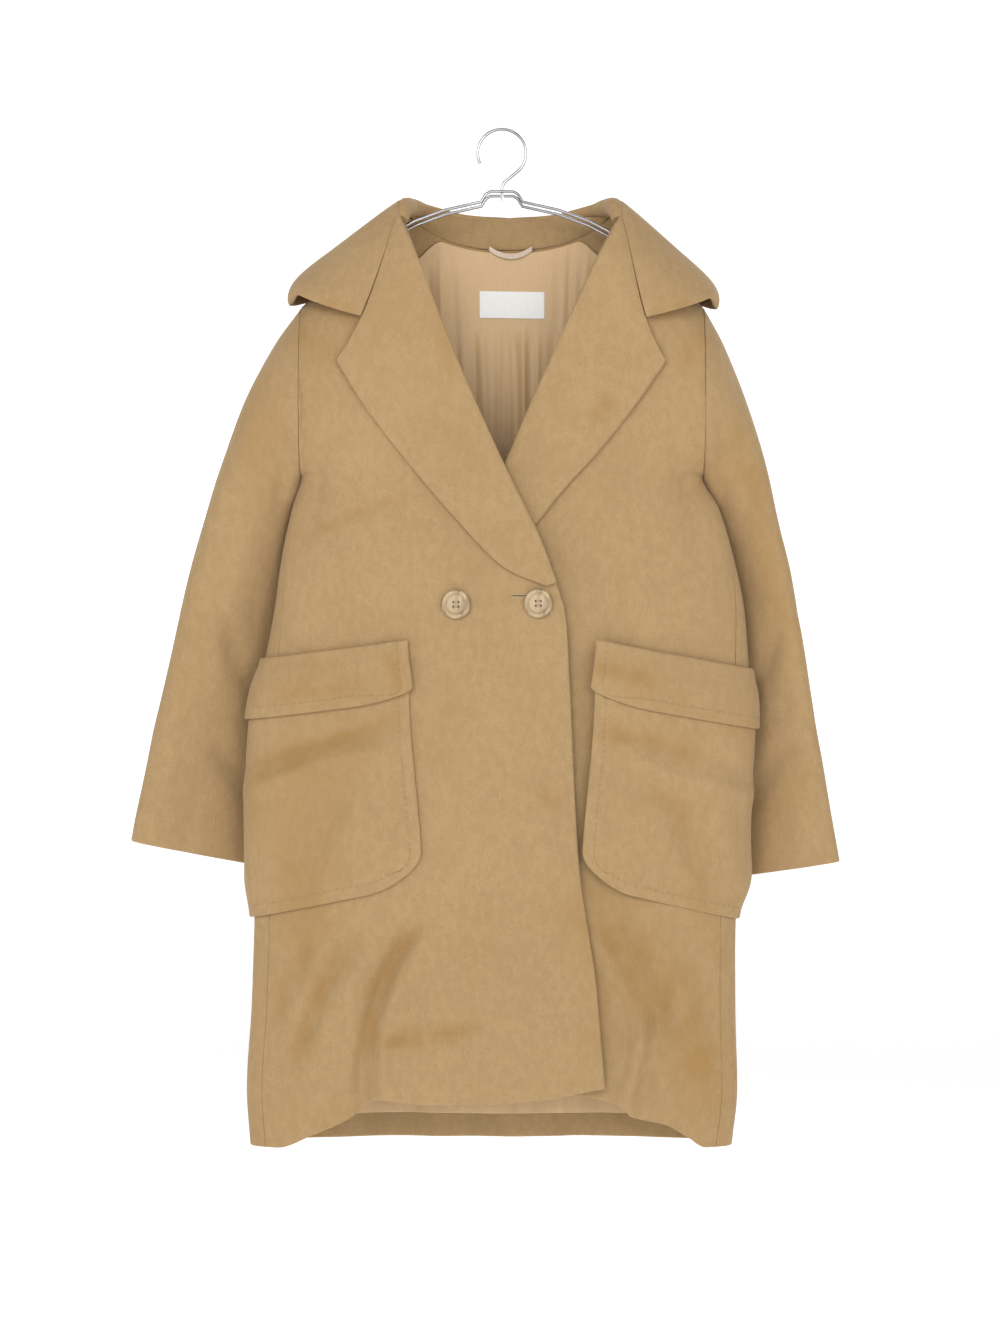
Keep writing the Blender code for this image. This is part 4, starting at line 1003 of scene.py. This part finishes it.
def loop_surface(s, t):
    """The hanging loop: a narrow tape sewn at both ends, sagging between them."""
    x = mix(LOOP_X0, LOOP_X1, s)
    sag = 4 * s * (1 - s)
    z = LOOP_Z - LOOP_SAG * sag + (t - 0.5) * LOOP_WIDTH
    return inside_back(x, z, LINING_CLOTH + 2 * GAP + TAPE_CLOTH + LOOP_OFF * sag)


def creases(table, x, z):
    """Height of a piece's creases at arrays of points, each full in its middle and faded at its ends."""
    total = np.zeros_like(x)
    for crease in table:
        f, off = place_by(crease, x, z)
        off = off + CREASE_SWAY * crease.width * np.sin(f * CREASE_SWAY_TURN + crease.x0)
        rise = np.clip((f + FOLD_PAST) / CREASE_FADE, 0, 1)
        fade = rise * np.clip((1 + FOLD_PAST - f) / CREASE_FADE, 0, 1)
        fade = fade * fade * (3 - 2 * fade)
        total += crease.height * fade * np.exp(-((off / crease.width) ** 2))
    return total


def unevenness(x, z, phase):
    """Slow uneven waves that keep a wide piece of cloth from lying dead flat."""
    wave = np.sin(x / WAVE_ACROSS + WAVE_ACROSS_SWAY * np.sin(z / WAVE_ACROSS_BEND + phase) + phase)
    wave += np.sin(z / WAVE_UP + WAVE_UP_SWAY * np.sin(x / WAVE_UP_BEND - phase) + 2 * phase)
    bend = RIPPLE_SWAY * np.sin(z / RIPPLE_BEND + phase)
    wave += RIPPLE_SHARE * np.sin(x / RIPPLE_ACROSS + z / RIPPLE_UP + bend)
    return UNEVEN * wave / (2 + RIPPLE_SHARE)


def spread(count, length, radius):
    """Values from 0 to 1: even, with more of them in the rounding beside each end."""
    near = [radius * step / length for step in EDGE_STEPS]
    inner = [mix(near[-1], 1 - near[-1], k / count) for k in range(1, count)]
    return near + inner + [1 - f for f in reversed(near)]


def grid_of(surface, across, up):
    return np.array([[surface(s, t)[:] for s in across] for t in up], float)


def normals_of(points):
    """Outward normals of a grid whose columns run right and rows run up, seen from outside."""
    normal = np.cross(np.gradient(points, axis=1), np.gradient(points, axis=0))
    normal /= np.maximum(np.linalg.norm(normal, axis=2, keepdims=True), TINY)
    wide = np.pad(normal, ((1, 1), (1, 1), (0, 0)), mode="edge")
    beside = wide[:-2, 1:-1] + wide[2:, 1:-1] + wide[1:-1, :-2] + wide[1:-1, 2:]
    normal = normal + NORMAL_SMOOTH * beside
    return normal / np.linalg.norm(normal, axis=2, keepdims=True)


def run_along(points, axis):
    """Distance along each row (axis 1) or column (axis 0) from its start."""
    steps = np.linalg.norm(np.diff(points, axis=axis), axis=2)
    start = np.zeros_like(np.take(steps, [0], axis=axis))
    return np.concatenate([start, np.cumsum(steps, axis=axis)], axis=axis)


def edge_distances(points):
    """Distance of each point of a grid from its left, right, lower and upper edge."""
    across, up = run_along(points, 1), run_along(points, 0)
    return {"left": across, "right": across[:, -1:] - across, "low": up, "top": up[-1:] - up}


def rounding(edges, radius, thickness, seams):
    """How far a shell's faces close in beside its edges: fully at free edges, a little at seams."""
    fall = np.zeros_like(edges["left"])
    for side, near in edges.items():
        reach, share = (SEAM_RADIUS, SEAM_SHARE) if side in seams else (radius, EDGE_SHARE)
        bend = 1 - np.clip(near / reach, 0, 1)
        fall = np.maximum(fall, thickness * share * (1 - np.sqrt(1 - bend ** 2)))
    return fall


def closed_faces(tall, wide):
    """Faces of a closed shell on two grids of points: the outer one, the inner one and the rim between."""
    count = tall * wide
    corner = np.arange(count).reshape(tall, wide)
    quads = np.stack([corner[:-1, :-1], corner[:-1, 1:], corner[1:, 1:], corner[1:, :-1]], axis=-1)
    quads = quads.reshape(-1, 4)
    border = np.concatenate([corner[0, :-1], corner[:-1, -1], corner[-1, :0:-1], corner[:0:-1, 0]])
    ahead = np.roll(border, -1)
    rim = np.stack([border, border + count, ahead + count, ahead], axis=1)
    return np.concatenate([quads, quads[:, ::-1] + count, rim])


def stitch_line(edges, stitched):
    """Each point's distance from the nearest stitched edge, and the run along that edge."""
    distance = np.full_like(edges["left"], FAR)
    run = distance
    for side in stitched:
        along_it = edges["low"] if side in ("left", "right") else edges["left"]
        run = np.where(edges[side] < distance, along_it, run)
        distance = np.minimum(distance, edges[side])
    return distance, run


def linked(name, data, look=None):
    """A new object in the scene, with its look if it has one of its own."""
    obj = bpy.data.objects.new(name, data)
    if look:
        data.materials.append(look)
    bpy.context.scene.collection.objects.link(obj)
    return obj


def shell(
    name, surface, grid, thickness, relief=None, trim=None, edge_radius=EDGE_RADIUS, stitched=(), seams=()
):
    """A thin closed shell of cloth with rounded edges, its outer face on the surface.

    `stitched` names the edges that pick stitching follows, and `seams` those sewn to another piece.
    The shell keeps, for its material, each point's distance from the stitched edges, the run along
    them and the weight of its nap marks, which are partly painted shade.
    """
    radius = edge_radius * thickness
    even = np.linspace(0, 1, ROUGH_STEPS)
    rough = grid_of(surface, even, even)
    columns, rows = grid
    across = spread(columns, run_along(rough, 1)[:, -1].mean(), radius)
    up = spread(rows, run_along(rough, 0)[-1].mean(), radius)
    points = grid_of(surface, across, up)
    normals = normals_of(points)
    lift = relief(points)[..., None] if relief else 0.0
    edges = edge_distances(points)
    fall = rounding(edges, radius, thickness, seams)[..., None]
    outer = points + normals * (lift - fall)
    inner = points + normals * (lift - thickness + fall)
    sides = np.concatenate([outer.reshape(-1, 3), inner.reshape(-1, 3)])
    if trim:
        steps = [(s, t) for t in up for s in across] * 2
        sides = np.array([trim(Vector(point), s, t)[:] for point, (s, t) in zip(sides, steps)])
    mesh = bpy.data.meshes.new(name)
    mesh.from_pydata((sides * MM).tolist(), [], closed_faces(*points.shape[:2]).tolist())
    mesh.shade_smooth()
    distance, run = stitch_line(edges, stitched)
    for key, values in (("edge", distance), ("run", run), ("nap", nap_and_shade_weight(points))):
        store = mesh.attributes.new(key, "FLOAT", "POINT")
        store.data.foreach_set("value", np.tile(values.reshape(-1), 2).astype(np.float32))
    obj = linked(name, mesh)
    obj["across_m"] = float(run_along(points, 1).max() * MM)
    obj["up_m"] = float(run_along(points, 0).max() * MM)
    return obj


def nap_and_shade_weight(points):
    """Weight of the warmer, darker marks: nap stroked the other way, and painted shade along crease troughs
    and under the flaps, with marks of their own on the front and the back.
    """
    x, y, z = (points[..., k] for k in range(3))
    behind = np.clip(0.5 + y / FRONT_BACK_BLEND, 0, 1)
    return (1 - behind) * creases(NAP_AND_SHADE_MARKS, x, z) + behind * creases(BACK_NAP_AND_SHADE_MARKS, x, z)


def relief_of(table, phase, mirrored=False):
    """The relief of a piece from its crease table: its creases and slow unevenness."""

    def relief(points):
        x, z = points[..., 0], points[..., 2]
        side = -1 if mirrored else 1
        return CREASE_SHOW * creases(table, side * x, z) + unevenness(x, z, phase)

    return relief


def sleeve_relief(side):
    """A sleeve's relief, with the cloth gathered close to the body under the arm."""
    base = relief_of(TOP_SLEEVE_CREASES, PHASES["sleeve"] + side, side > 0)

    def relief(points):
        x, z = points[..., 0], points[..., 2]
        out = (x - side * ARMHOLE_X) / UNDERARM_REACH
        down = (z - UNDERARM_TUCK_Z) / UNDERARM_REACH
        return base(points) + UNDERARM_TUCK * np.exp(-(out ** 2) - down ** 2)

    return relief


def lining_relief(points):
    """The lining's creases, which keep clear of the label and the loop."""
    x, z = points[..., 0], points[..., 2]
    below = np.clip((LABEL_FLAT_Z - z) / LABEL_CLEAR_FADE, 0, 1)
    beside = np.clip((abs(x - LABEL_X) - LABEL_CLEAR) / LABEL_CLEAR_FADE, 0, 1)
    loose = np.maximum(below, beside)
    pushed = np.maximum(0, -CREASE_SHOW * creases(BACK_CREASES, x, z))
    own = CREASE_SHOW * creases(LINING_CREASES, x, z) + unevenness(x, z, PHASES["lining"])
    return loose * np.maximum(own, -LINING_SLACK) + pushed


def tube(name, points, radius, look, cyclic=False, swell=None):
    """A round wire along points in millimetres, as a mesh. `swell` scales its radius at each point."""
    curve = bpy.data.curves.new(name, "CURVE")
    curve.dimensions = "3D"
    curve.bevel_depth = radius * MM
    curve.bevel_resolution = WIRE_ROUND
    curve.use_fill_caps = not cyclic
    spline = curve.splines.new("POLY")
    spline.points.add(len(points) - 1)
    for slot, point, scale in zip(spline.points, points, swell or [1.0] * len(points)):
        slot.co = (*(Vector(point) * MM), 1)
        slot.radius = scale
    spline.use_cyclic_u = cyclic
    drawn = linked(name, curve)
    made = drawn.evaluated_get(bpy.context.evaluated_depsgraph_get())
    mesh = bpy.data.meshes.new_from_object(made)
    bpy.data.objects.remove(drawn)
    bpy.data.curves.remove(curve)
    mesh.name = name
    return linked(name, mesh, look)


class Shading:
    """Short names for making and joining a material's nodes."""

    def __init__(self, name):
        self.material = bpy.data.materials.new(name)
        self.material.use_nodes = True
        self.tree = self.material.node_tree
        self.shader = self.tree.nodes["Principled BSDF"]

    def join(self, value, socket):
        if isinstance(value, bpy.types.NodeSocket):
            self.tree.links.new(value, socket)
        else:
            socket.default_value = value

    def node(self, kind, inputs, **settings):
        """The outputs of a new node, once its settings are made and its inputs joined."""
        node = self.tree.nodes.new(f"ShaderNode{kind}")
        for name, value in settings.items():
            setattr(node, name, value)
        for slot, value in inputs.items():
            self.join(value, node.inputs[slot])
        return node.outputs

    def math(self, operation, a, b=0.0):
        return self.node("Math", {0: a, 1: b}, operation=operation)[0]

    def times(self, a, b):
        return self.math("MULTIPLY", a, b)

    def plus(self, a, b):
        return self.math("ADD", a, b)

    def mapped(self, low, high, value):
        """0 where the value is low, 1 where it is high, smooth between."""
        inputs = {"Value": value, "From Min": low, "From Max": high}
        return self.node("MapRange", inputs, interpolation_type="SMOOTHSTEP")["Result"]

    def attribute(self, name):
        return self.node("Attribute", {}, attribute_name=name)["Fac"]

    def noise(self, pattern):
        place = self.node("TexCoord", {})["Object"]
        stretched = self.node("Mapping", {"Vector": place, "Scale": pattern.stretch})["Vector"]
        inputs = {"Vector": stretched, "Scale": pattern.scale, "Detail": pattern.detail}
        return self.node("TexNoise", inputs)["Fac"]

    def shown(self, pattern):
        """A pattern's noise, spread over the range that shows."""
        return self.mapped(pattern.low, pattern.high, self.noise(pattern))

    def blended(self, amount, a, b):
        return self.node("Mix", {"Factor": amount, "A": a, "B": b}, data_type="RGBA")["Result"]

    def bump(self, height, depth_and_strength, before=None):
        distance, strength = depth_and_strength
        inputs = {"Height": height, "Distance": distance, "Strength": strength}
        if before:
            inputs["Normal"] = before
        return self.node("Bump", inputs)["Normal"]

    def set(self, **values):
        for name, value in values.items():
            self.join(value, self.shader.inputs[name.replace("_", " ")])
        return self.material


def wool(name, shade, nap_and_shade_tone):
    """Brushed camel wool: mottled colour, warmer and darker where the nap is stroked back and as painted
    shade in crease troughs and under the flaps, fibres, and pick stitches with painted shade in their
    groove.
    """
    make = Shading(name)
    light, dark = shade
    speck = (*(SPECK_DARK * value for value in dark), 1)
    fibre = make.noise(FIBRE)
    cloud = make.times(make.noise(CLOUD), 1 - MOTTLE_SHARE)
    shift = make.plus(cloud, make.times(make.shown(MOTTLE), MOTTLE_SHARE))
    colour = make.blended(make.mapped(CLOUD.low, CLOUD.high, shift), (*dark, 1), (*light, 1))
    fuzz = make.times(make.mapped(FIBRE.low, FIBRE.high, fibre), FIBRE_SHOW)
    colour = make.blended(fuzz, colour, speck)
    smear = make.times(make.shown(SMEAR), SMEAR_SHOW)
    ragged = make.plus(make.times(make.shown(RAGGED), RAGGED_SHOW), RAGGED_BASE)
    # nap marks, partly painted shade along crease troughs and under the flaps, plus random warm smears
    nap_shade_and_smear = make.plus(make.times(make.attribute("nap"), ragged), smear)
    nap_shade_and_smear = make.times(make.math("MINIMUM", nap_shade_and_smear, 1.0), NAP_AND_SHADE_SHOW)
    colour = make.blended(nap_shade_and_smear, colour, (*nap_and_shade_tone, 1))
    off = make.math("ABSOLUTE", make.math("SUBTRACT", make.attribute("edge"), STITCH_IN))
    groove = make.math("SUBTRACT", 1.0, make.mapped(0.0, STITCH_WIDTH, off))
    prick = make.math("SINE", make.times(make.attribute("run"), 2 * pi / STITCH_STEP))
    stitch = make.times(groove, make.mapped(*STITCH_GAP, prick))
    seam = make.plus(make.times(groove, GROOVE_SHARE), stitch)
    # painted shade: the stitch groove and its pick-stitch dimples, sunk by the bump below, are darkened
    colour = make.blended(make.times(seam, STITCH_SHADE), colour, speck)
    normal = make.bump(fibre, FIBRE_BUMP)
    normal = make.bump(make.noise(FELT), FELT_BUMP, normal)
    normal = make.bump(make.times(seam, -1.0), STITCH_BUMP, normal)
    return make.set(
        Base_Color=colour, Roughness=0.93, Normal=normal, Sheen_Weight=0.22, Sheen_Roughness=0.45,
        Sheen_Tint=(1.0, 0.90, 0.72, 1), Specular_IOR_Level=0.2,
    )


def smooth_cloth(name, colour, roughness, weave, sheen):
    """Thin woven cloth with a fine thread grain."""
    make = Shading(name)
    thread = make.noise(weave)
    shade = tuple(WEAVE_DARK * value for value in colour)
    tint = make.blended(make.mapped(weave.low, weave.high, thread), (*shade, 1), (*colour, 1))
    normal = make.bump(thread, WEAVE_BUMP)
    return make.set(Base_Color=tint, Roughness=roughness, Normal=normal, Sheen_Weight=sheen)


def horn(name, light, dark):
    """Mottled horn with a soft polish."""
    make = Shading(name)
    tint = make.blended(make.shown(HORN_CLOUD), (*light, 1), (*dark, 1))
    return make.set(Base_Color=tint, Roughness=0.34, Coat_Weight=0.25)


def plain(name, colour, roughness, metallic=0.0):
    return Shading(name).set(Base_Color=(*colour, 1), Roughness=roughness, Metallic=metallic)


def hanger_wires(look):
    """The hanger's three wires: the twin-wire frame, its crossbar and the hook."""
    arm = []
    for a, b in zip(HANGER_ARM, HANGER_ARM[1:]):
        pieces = max(1, ceil(hypot(b.x - a.x, b.z - a.z) / WIRE_STEP))
        arm += [(mix(a.x, b.x, k / pieces), mix(a.z, b.z, k / pieces)) for k in range(pieces)]
    last = HANGER_ARM[-1]
    end_run = []
    for turn in range(-90, 91, ARM_END_TURN):
        a = radians(turn)
        x, z = last.x + ARM_END_REACH * cos(a), last.z - ARM_END_DROP * cos(a)
        end_run.append((x, WIRE_SPREAD * sin(a), z))
    right = [(x, -WIRE_SPREAD, z) for x, z in arm] + end_run
    right += [(x, WIRE_SPREAD, z) for x, z in reversed(arm[1:])]
    left = [(-x, -y, z) for x, y, z in right]
    loop = right + [(0, WIRE_SPREAD, HANGER_ARM[0].z)] + left[1:]
    bar_half = WIRE_SPREAD + CROSSBAR_PAST
    bar = [(0, y, CROSSBAR_Z) for y in (-bar_half, 0, bar_half)]
    ring = HOOK_RADIUS + WIRE_RADIUS
    start, end = HOOK_SWEEP
    turns = [radians(mix(start, end, k / HOOK_STEPS)) for k in range(HOOK_STEPS + 1)]
    bend_x, bend_rise = STEM_BEND
    hook = [(0, 0, STEM_FOOT_Z), (0, 0, STEM_FOOT_Z + STEM_RISE), (bend_x, 0, STEM_FOOT_Z + bend_rise)]
    hook += [(ring * cos(a), 0, -HOOK_RADIUS + ring * sin(a)) for a in turns]
    return (
        ("hanger_frame", tube("wire_frame", loop, WIRE_RADIUS, look, cyclic=True)),
        ("hanger_crossbar", tube("wire_crossbar", bar, WIRE_RADIUS, look)),
        ("hanger_hook", tube("wire_hook", hook, WIRE_RADIUS, look)),
    )


def turned(name, profile, steps, look):
    """A solid of revolution about Z from (radius, height) points in millimetres, face first."""
    bm = bmesh.new()
    rings = []
    for radius, height in profile:
        if radius == 0:
            rings.append([bm.verts.new((0, 0, height * MM))])
        else:
            turns = [2 * pi * k / steps for k in range(steps)]
            places = [(radius * cos(a) * MM, radius * sin(a) * MM, height * MM) for a in turns]
            rings.append([bm.verts.new(place) for place in places])
    for upper, lower in zip(rings, rings[1:]):
        for k in range(steps):
            corners = [upper[k % len(upper)], lower[k % len(lower)]]
            corners += [lower[(k + 1) % len(lower)], upper[(k + 1) % len(upper)]]
            bm.faces.new(list(dict.fromkeys(corners)))
    mesh = bpy.data.meshes.new(name)
    bm.to_mesh(mesh)
    bm.free()
    mesh.shade_smooth()
    return linked(name, mesh, look)


def smooth_profile(profile, steps):
    """More points on a smooth curve through a button's half outline, by length along it."""
    knots = [0.0]
    for a, b in zip(profile, profile[1:]):
        knots.append(knots[-1] + hypot(b.radius - a.radius, b.height - a.height))
    rows = tuple(Knot(at, point.radius, point.height) for at, point in zip(knots, profile))
    values = [knots[-1] * k / steps for k in range(steps + 1)]
    points = [(along(rows, "at", "radius", v), along(rows, "at", "height", v)) for v in values]
    return [(max(0.0, radius), height) for radius, height in points]


def button(place, horn_look, hole_shade_look, thread_look):
    """A four-hole horn button with its thread, seated on the over front."""
    seat = lifted(place.x, place.z, over_depth, -1, GAP)
    normal = lifted(place.x, place.z, over_depth, -1, 1 + GAP) - seat
    profile = smooth_profile(BUTTON_PROFILE, BUTTON_STEPS)
    body = turned(f"{place.name}_horn", profile, BUTTON_SIDES, horn_look)
    turns = [radians(45 + 90 * k) for k in range(4)]
    spots = [Vector((cos(a), sin(a), 0)) * BUTTON_HOLE_SPREAD for a in turns]
    for k, spot in enumerate(spots):
        # each hole is a thin dark disc of painted shade on the button's face
        hole = turned(f"{place.name}_hole_{k}", HOLE_PROFILE, HOLE_SIDES, hole_shade_look)
        hole.location = (spot + Vector((0, 0, HOLE_Z))) * MM
        hole.parent = body
    sunk, proud = Vector((0, 0, HOLE_Z - THREAD_SUNK)), Vector((0, 0, HOLE_Z + THREAD_PROUD))
    for k, (a, b) in enumerate(((0, 1), (3, 2))):
        for strand in (-THREAD_APART, THREAD_APART):
            across = Vector((0, strand, 0))
            middle = (spots[a] + spots[b]) / 2
            run = [spots[a] + across + sunk, middle + across + proud, spots[b] + across + sunk]
            thread = tube(f"{place.name}_thread_{k}_{strand}", run, THREAD_RADIUS, thread_look)
            thread.parent = body
    body.location = seat * MM
    body.rotation_mode = "QUATERNION"
    body.rotation_quaternion = normal.to_track_quat("Z", "Y")
    return body


def buttonhole(look, slit_shade_look):
    """A corded buttonhole beside the fastened button: two lips of thread, and between them the slit, a dark
    tube of painted shade.
    """
    pieces = []
    for lip in BUTTONHOLE_LIPS:
        points = []
        for k in range(BUTTONHOLE_STEPS + 1):
            x = mix(BUTTONHOLE_X0, BUTTONHOLE_X1, k / BUTTONHOLE_STEPS)
            points.append(lifted(x, BUTTONHOLE_Z + lip.rise, over_depth, -1, BUTTONHOLE_LIFT))
        own_look = slit_shade_look if lip.name == "slit" else look
        pieces.append(tube(f"buttonhole_{lip.name}", points, lip.radius, own_look))
    return pieces


def declared(obj, node, look, cut_tall=0.0):
    """A finished cloth piece: its look put on, the node it stands for hidden, and the piece attached to the
    root. The flat size of its cut is worked out but not kept.
    """
    obj.data.materials.append(look)
    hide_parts(node)
    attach(obj, "root")
    half = len(obj.data.vertices) // 2
    flat_area = 0.0
    for face in obj.data.polygons:
        if max(face.vertices) < half:
            flat_area += face.area
    wide, tall = obj["across_m"], max(obj["up_m"], cut_tall)
    flat_area = min(flat_area, wide * tall)
    return obj


def collar_fold_run():
    """The middle line of the collar's rounded fold, from gorge to gorge, and how far it swells there."""
    points, swell = [], []
    for k in range(FOLD_STEPS + 1):
        side, f = collar_at(k / FOLD_STEPS)
        at = f * GORGE_START
        x, turn = collar_fold(side, at)
        scale = 1 + FOLD_SWELL * exp(-(((f - FOLD_SWELL_AT) / FOLD_SWELL_REACH) ** 2))
        points.append(over_shoulder(x, turn, row_at(COLLAR, at).fold_lift - scale * FOLD_ROUND))
        swell.append(scale)
    return points, swell


def dress(wool_look, lining_look, label_look, tape_look):
    """Every cloth piece of the coat, each a shell that stands for its solid."""

    def wool_piece(node, rests_on, *shape, with_pieces=(), **finish):
        piece = shell(f"cloth_{node}", *shape, **finish)
        declared(piece, node, wool_look)

    fronts = (
        ("front_right", front_panel(-1, OVER_EDGE, OVER_HEM, over_depth), FRONT_RIGHT_CREASES, "left"),
        ("front_left", front_panel(1, UNDER_EDGE, UNDER_HEM, under_depth), FRONT_LEFT_CREASES, "right"),
    )
    for node, surface, table, outer in fronts:
        wool_piece(
            node, ["wire_frame"], surface, FRONT_GRID, BODY_CLOTH, relief_of(table, PHASES[node]),
            trim_panel(-1), seams=(outer, "top"),
        )
    sewn = ("left", "right", "top")
    wool_piece(
        "back", ["wire_frame"], back_panel, BACK_GRID, BODY_CLOTH, relief_of(BACK_CREASES, PHASES["back"]),
        trim_panel(1), seams=sewn,
    )
    for name, side, rings in (("right", -1, RIGHT_SLEEVE), ("left", 1, LEFT_SLEEVE)):
        below = [f"cloth_front_{name}", "cloth_back"]
        for half in SLEEVE_HALVES:
            surface, trim = sleeve_half(rings, side, half.arc)
            wool_piece(
                f"{half.name}_sleeve_{name}", below, surface, (half.columns, SLEEVE_ROWS), BODY_CLOTH,
                sleeve_relief(side), trim, seams=sewn,
            )
    lapels = (
        ("right", lapel(OVER_LAPEL, -1, over_depth, OVER_ROLL)),
        ("left", lapel(UNDER_LAPEL, 1, under_depth, UNDER_ROLL)),
    )
    for name, surface in lapels:
        wool_piece(
            f"lapel_{name}", [f"cloth_front_{name}"], surface, LAPEL_GRID, LAPEL_CLOTH,
            edge_radius=SOFT_EDGE_RADIUS, seams=("top",),
        )
    run, swell = collar_fold_run()
    fold = tube("collar_fold", run, FOLD_ROUND, wool_look, swell=swell)
    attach(fold, "root")
    wool_piece(
        "collar_fall", ["cloth_collar_stand"], collar_fall, FALL_GRID, COLLAR_CLOTH, with_pieces=[fold],
        edge_radius=SOFT_EDGE_RADIUS, seams=("top",),
    )
    wool_piece("collar_stand", ["cloth_back"], collar_stand, STAND_GRID, STAND_CLOTH, trim=trim_stand)
    for pocket in POCKETS:
        side, below = pocket.side, [f"cloth_front_{pocket.name}"]
        relief = relief_of(POCKET_RIGHT_CREASES if side < 0 else POCKET_LEFT_CREASES, PHASES["pocket"])
        stitched = ("low", "right" if side < 0 else "left")
        surface = side_patch(side, POCKET_PATCH, pocket.pocket_slope)
        wool_piece(
            f"pocket_{pocket.name}", below, surface, POCKET_GRID, POCKET_CLOTH, relief, stitched=stitched
        )
        surface = side_patch(side, FLAP_PATCH, pocket.flap_slope)
        wool_piece(f"flap_{pocket.name}", below, surface, FLAP_GRID, FLAP_CLOTH, stitched=stitched)
    piece = shell("cloth_lining", lining_surface, LINING_GRID, LINING_CLOTH, lining_relief)
    declared(piece, "back_lining", lining_look)
    piece = shell("cloth_label", label_surface, LABEL_GRID, LABEL_CLOTH)
    declared(piece, "neck_label", label_look)
    piece = shell("cloth_loop", loop_surface, LOOP_GRID, TAPE_CLOTH)
    declared(piece, "hanging_loop", tape_look, TAPE_CUT)


def backdrop():
    """A pale round floor that sweeps up into a low wall all round, so that it lies behind every view."""
    profile = [(0, FLOOR_Z)]
    for k in range(SWEEP_STEPS + 1):
        a = radians(90 * k / SWEEP_STEPS)
        profile.append((WALL_RADIUS - SWEEP * (1 - sin(a)), FLOOR_Z + SWEEP * (1 - cos(a))))
    profile.append((WALL_RADIUS, WALL_TOP))
    paper = Shading("paper").set(
        Base_Color=PAPER_COLOUR, Roughness=1.0, Emission_Color=PAPER_COLOUR, Emission_Strength=PAPER_GLOW
    )
    obj = turned("backdrop", profile, WALL_STEPS, paper)


def studio():
    """Soft even light, a key from the upper left, and the camera at the picture's place."""
    scene = bpy.context.scene
    world = bpy.data.worlds.new("studio")
    world.use_nodes = True
    glow = world.node_tree.nodes["Background"].inputs
    glow["Color"].default_value = (1, 1, 1, 1)
    glow["Strength"].default_value = WORLD_LIGHT
    scene.world = world
    aim = Vector((0, 0, CAMERA_Z))
    for lamp in LAMPS:
        light = bpy.data.lights.new(lamp.name, "AREA")
        light.size = lamp.size
        light.energy = lamp.power
        obj = linked(lamp.name, light)
        obj.location = (lamp.x, lamp.y, lamp.z)
        obj.rotation_euler = (aim - obj.location).to_track_quat("-Z", "Y").to_euler()
        obj.visible_camera = False
    lens = bpy.data.cameras.new("camera")
    lens.lens = LENS
    lens.sensor_fit = "HORIZONTAL"
    lens.sensor_width = SENSOR
    camera = linked("camera", lens)
    camera.location = (CAMERA_X, CAMERA_Y, CAMERA_Z)
    camera.rotation_euler = (radians(90), 0, 0)
    scene.camera = camera
    scene.view_settings.view_transform = "Standard"


def main():
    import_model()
    wool_look = wool("camel", WOOL_SHADE, WOOL_NAP_AND_SHADE)
    lining_look = smooth_cloth("lining", LINING_COLOUR, roughness=0.55, weave=LINING_WEAVE, sheen=0.1)
    label_look = smooth_cloth("label", LABEL_COLOUR, roughness=0.6, weave=LABEL_WEAVE, sheen=0.0)
    tape_look = smooth_cloth("tape", TAPE_COLOUR, roughness=0.32, weave=TAPE_WEAVE, sheen=0.2)
    wire_look = plain("wire", WIRE_COLOUR, roughness=0.16, metallic=1.0)
    horn_look = horn("horn", HORN_LIGHT, HORN_DARK)
    # painted shade for the button holes and the buttonhole's slit
    hole_shade_look = plain("hole", HOLE_SHADE, roughness=0.8)
    thread_look = plain("thread", THREAD_COLOUR, roughness=0.7)
    for node, wire in hanger_wires(wire_look):
        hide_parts(node)
        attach(wire, "root")
    dress(wool_look, lining_look, label_look, tape_look)
    for place in BUTTONS:
        body = button(place, horn_look, hole_shade_look, thread_look)
        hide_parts(place.name)
        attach(body, "root")
    for piece in buttonhole(thread_look, hole_shade_look):
        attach(piece, "root")
    backdrop()
    studio()
    bpy.context.view_layer.update()


main()
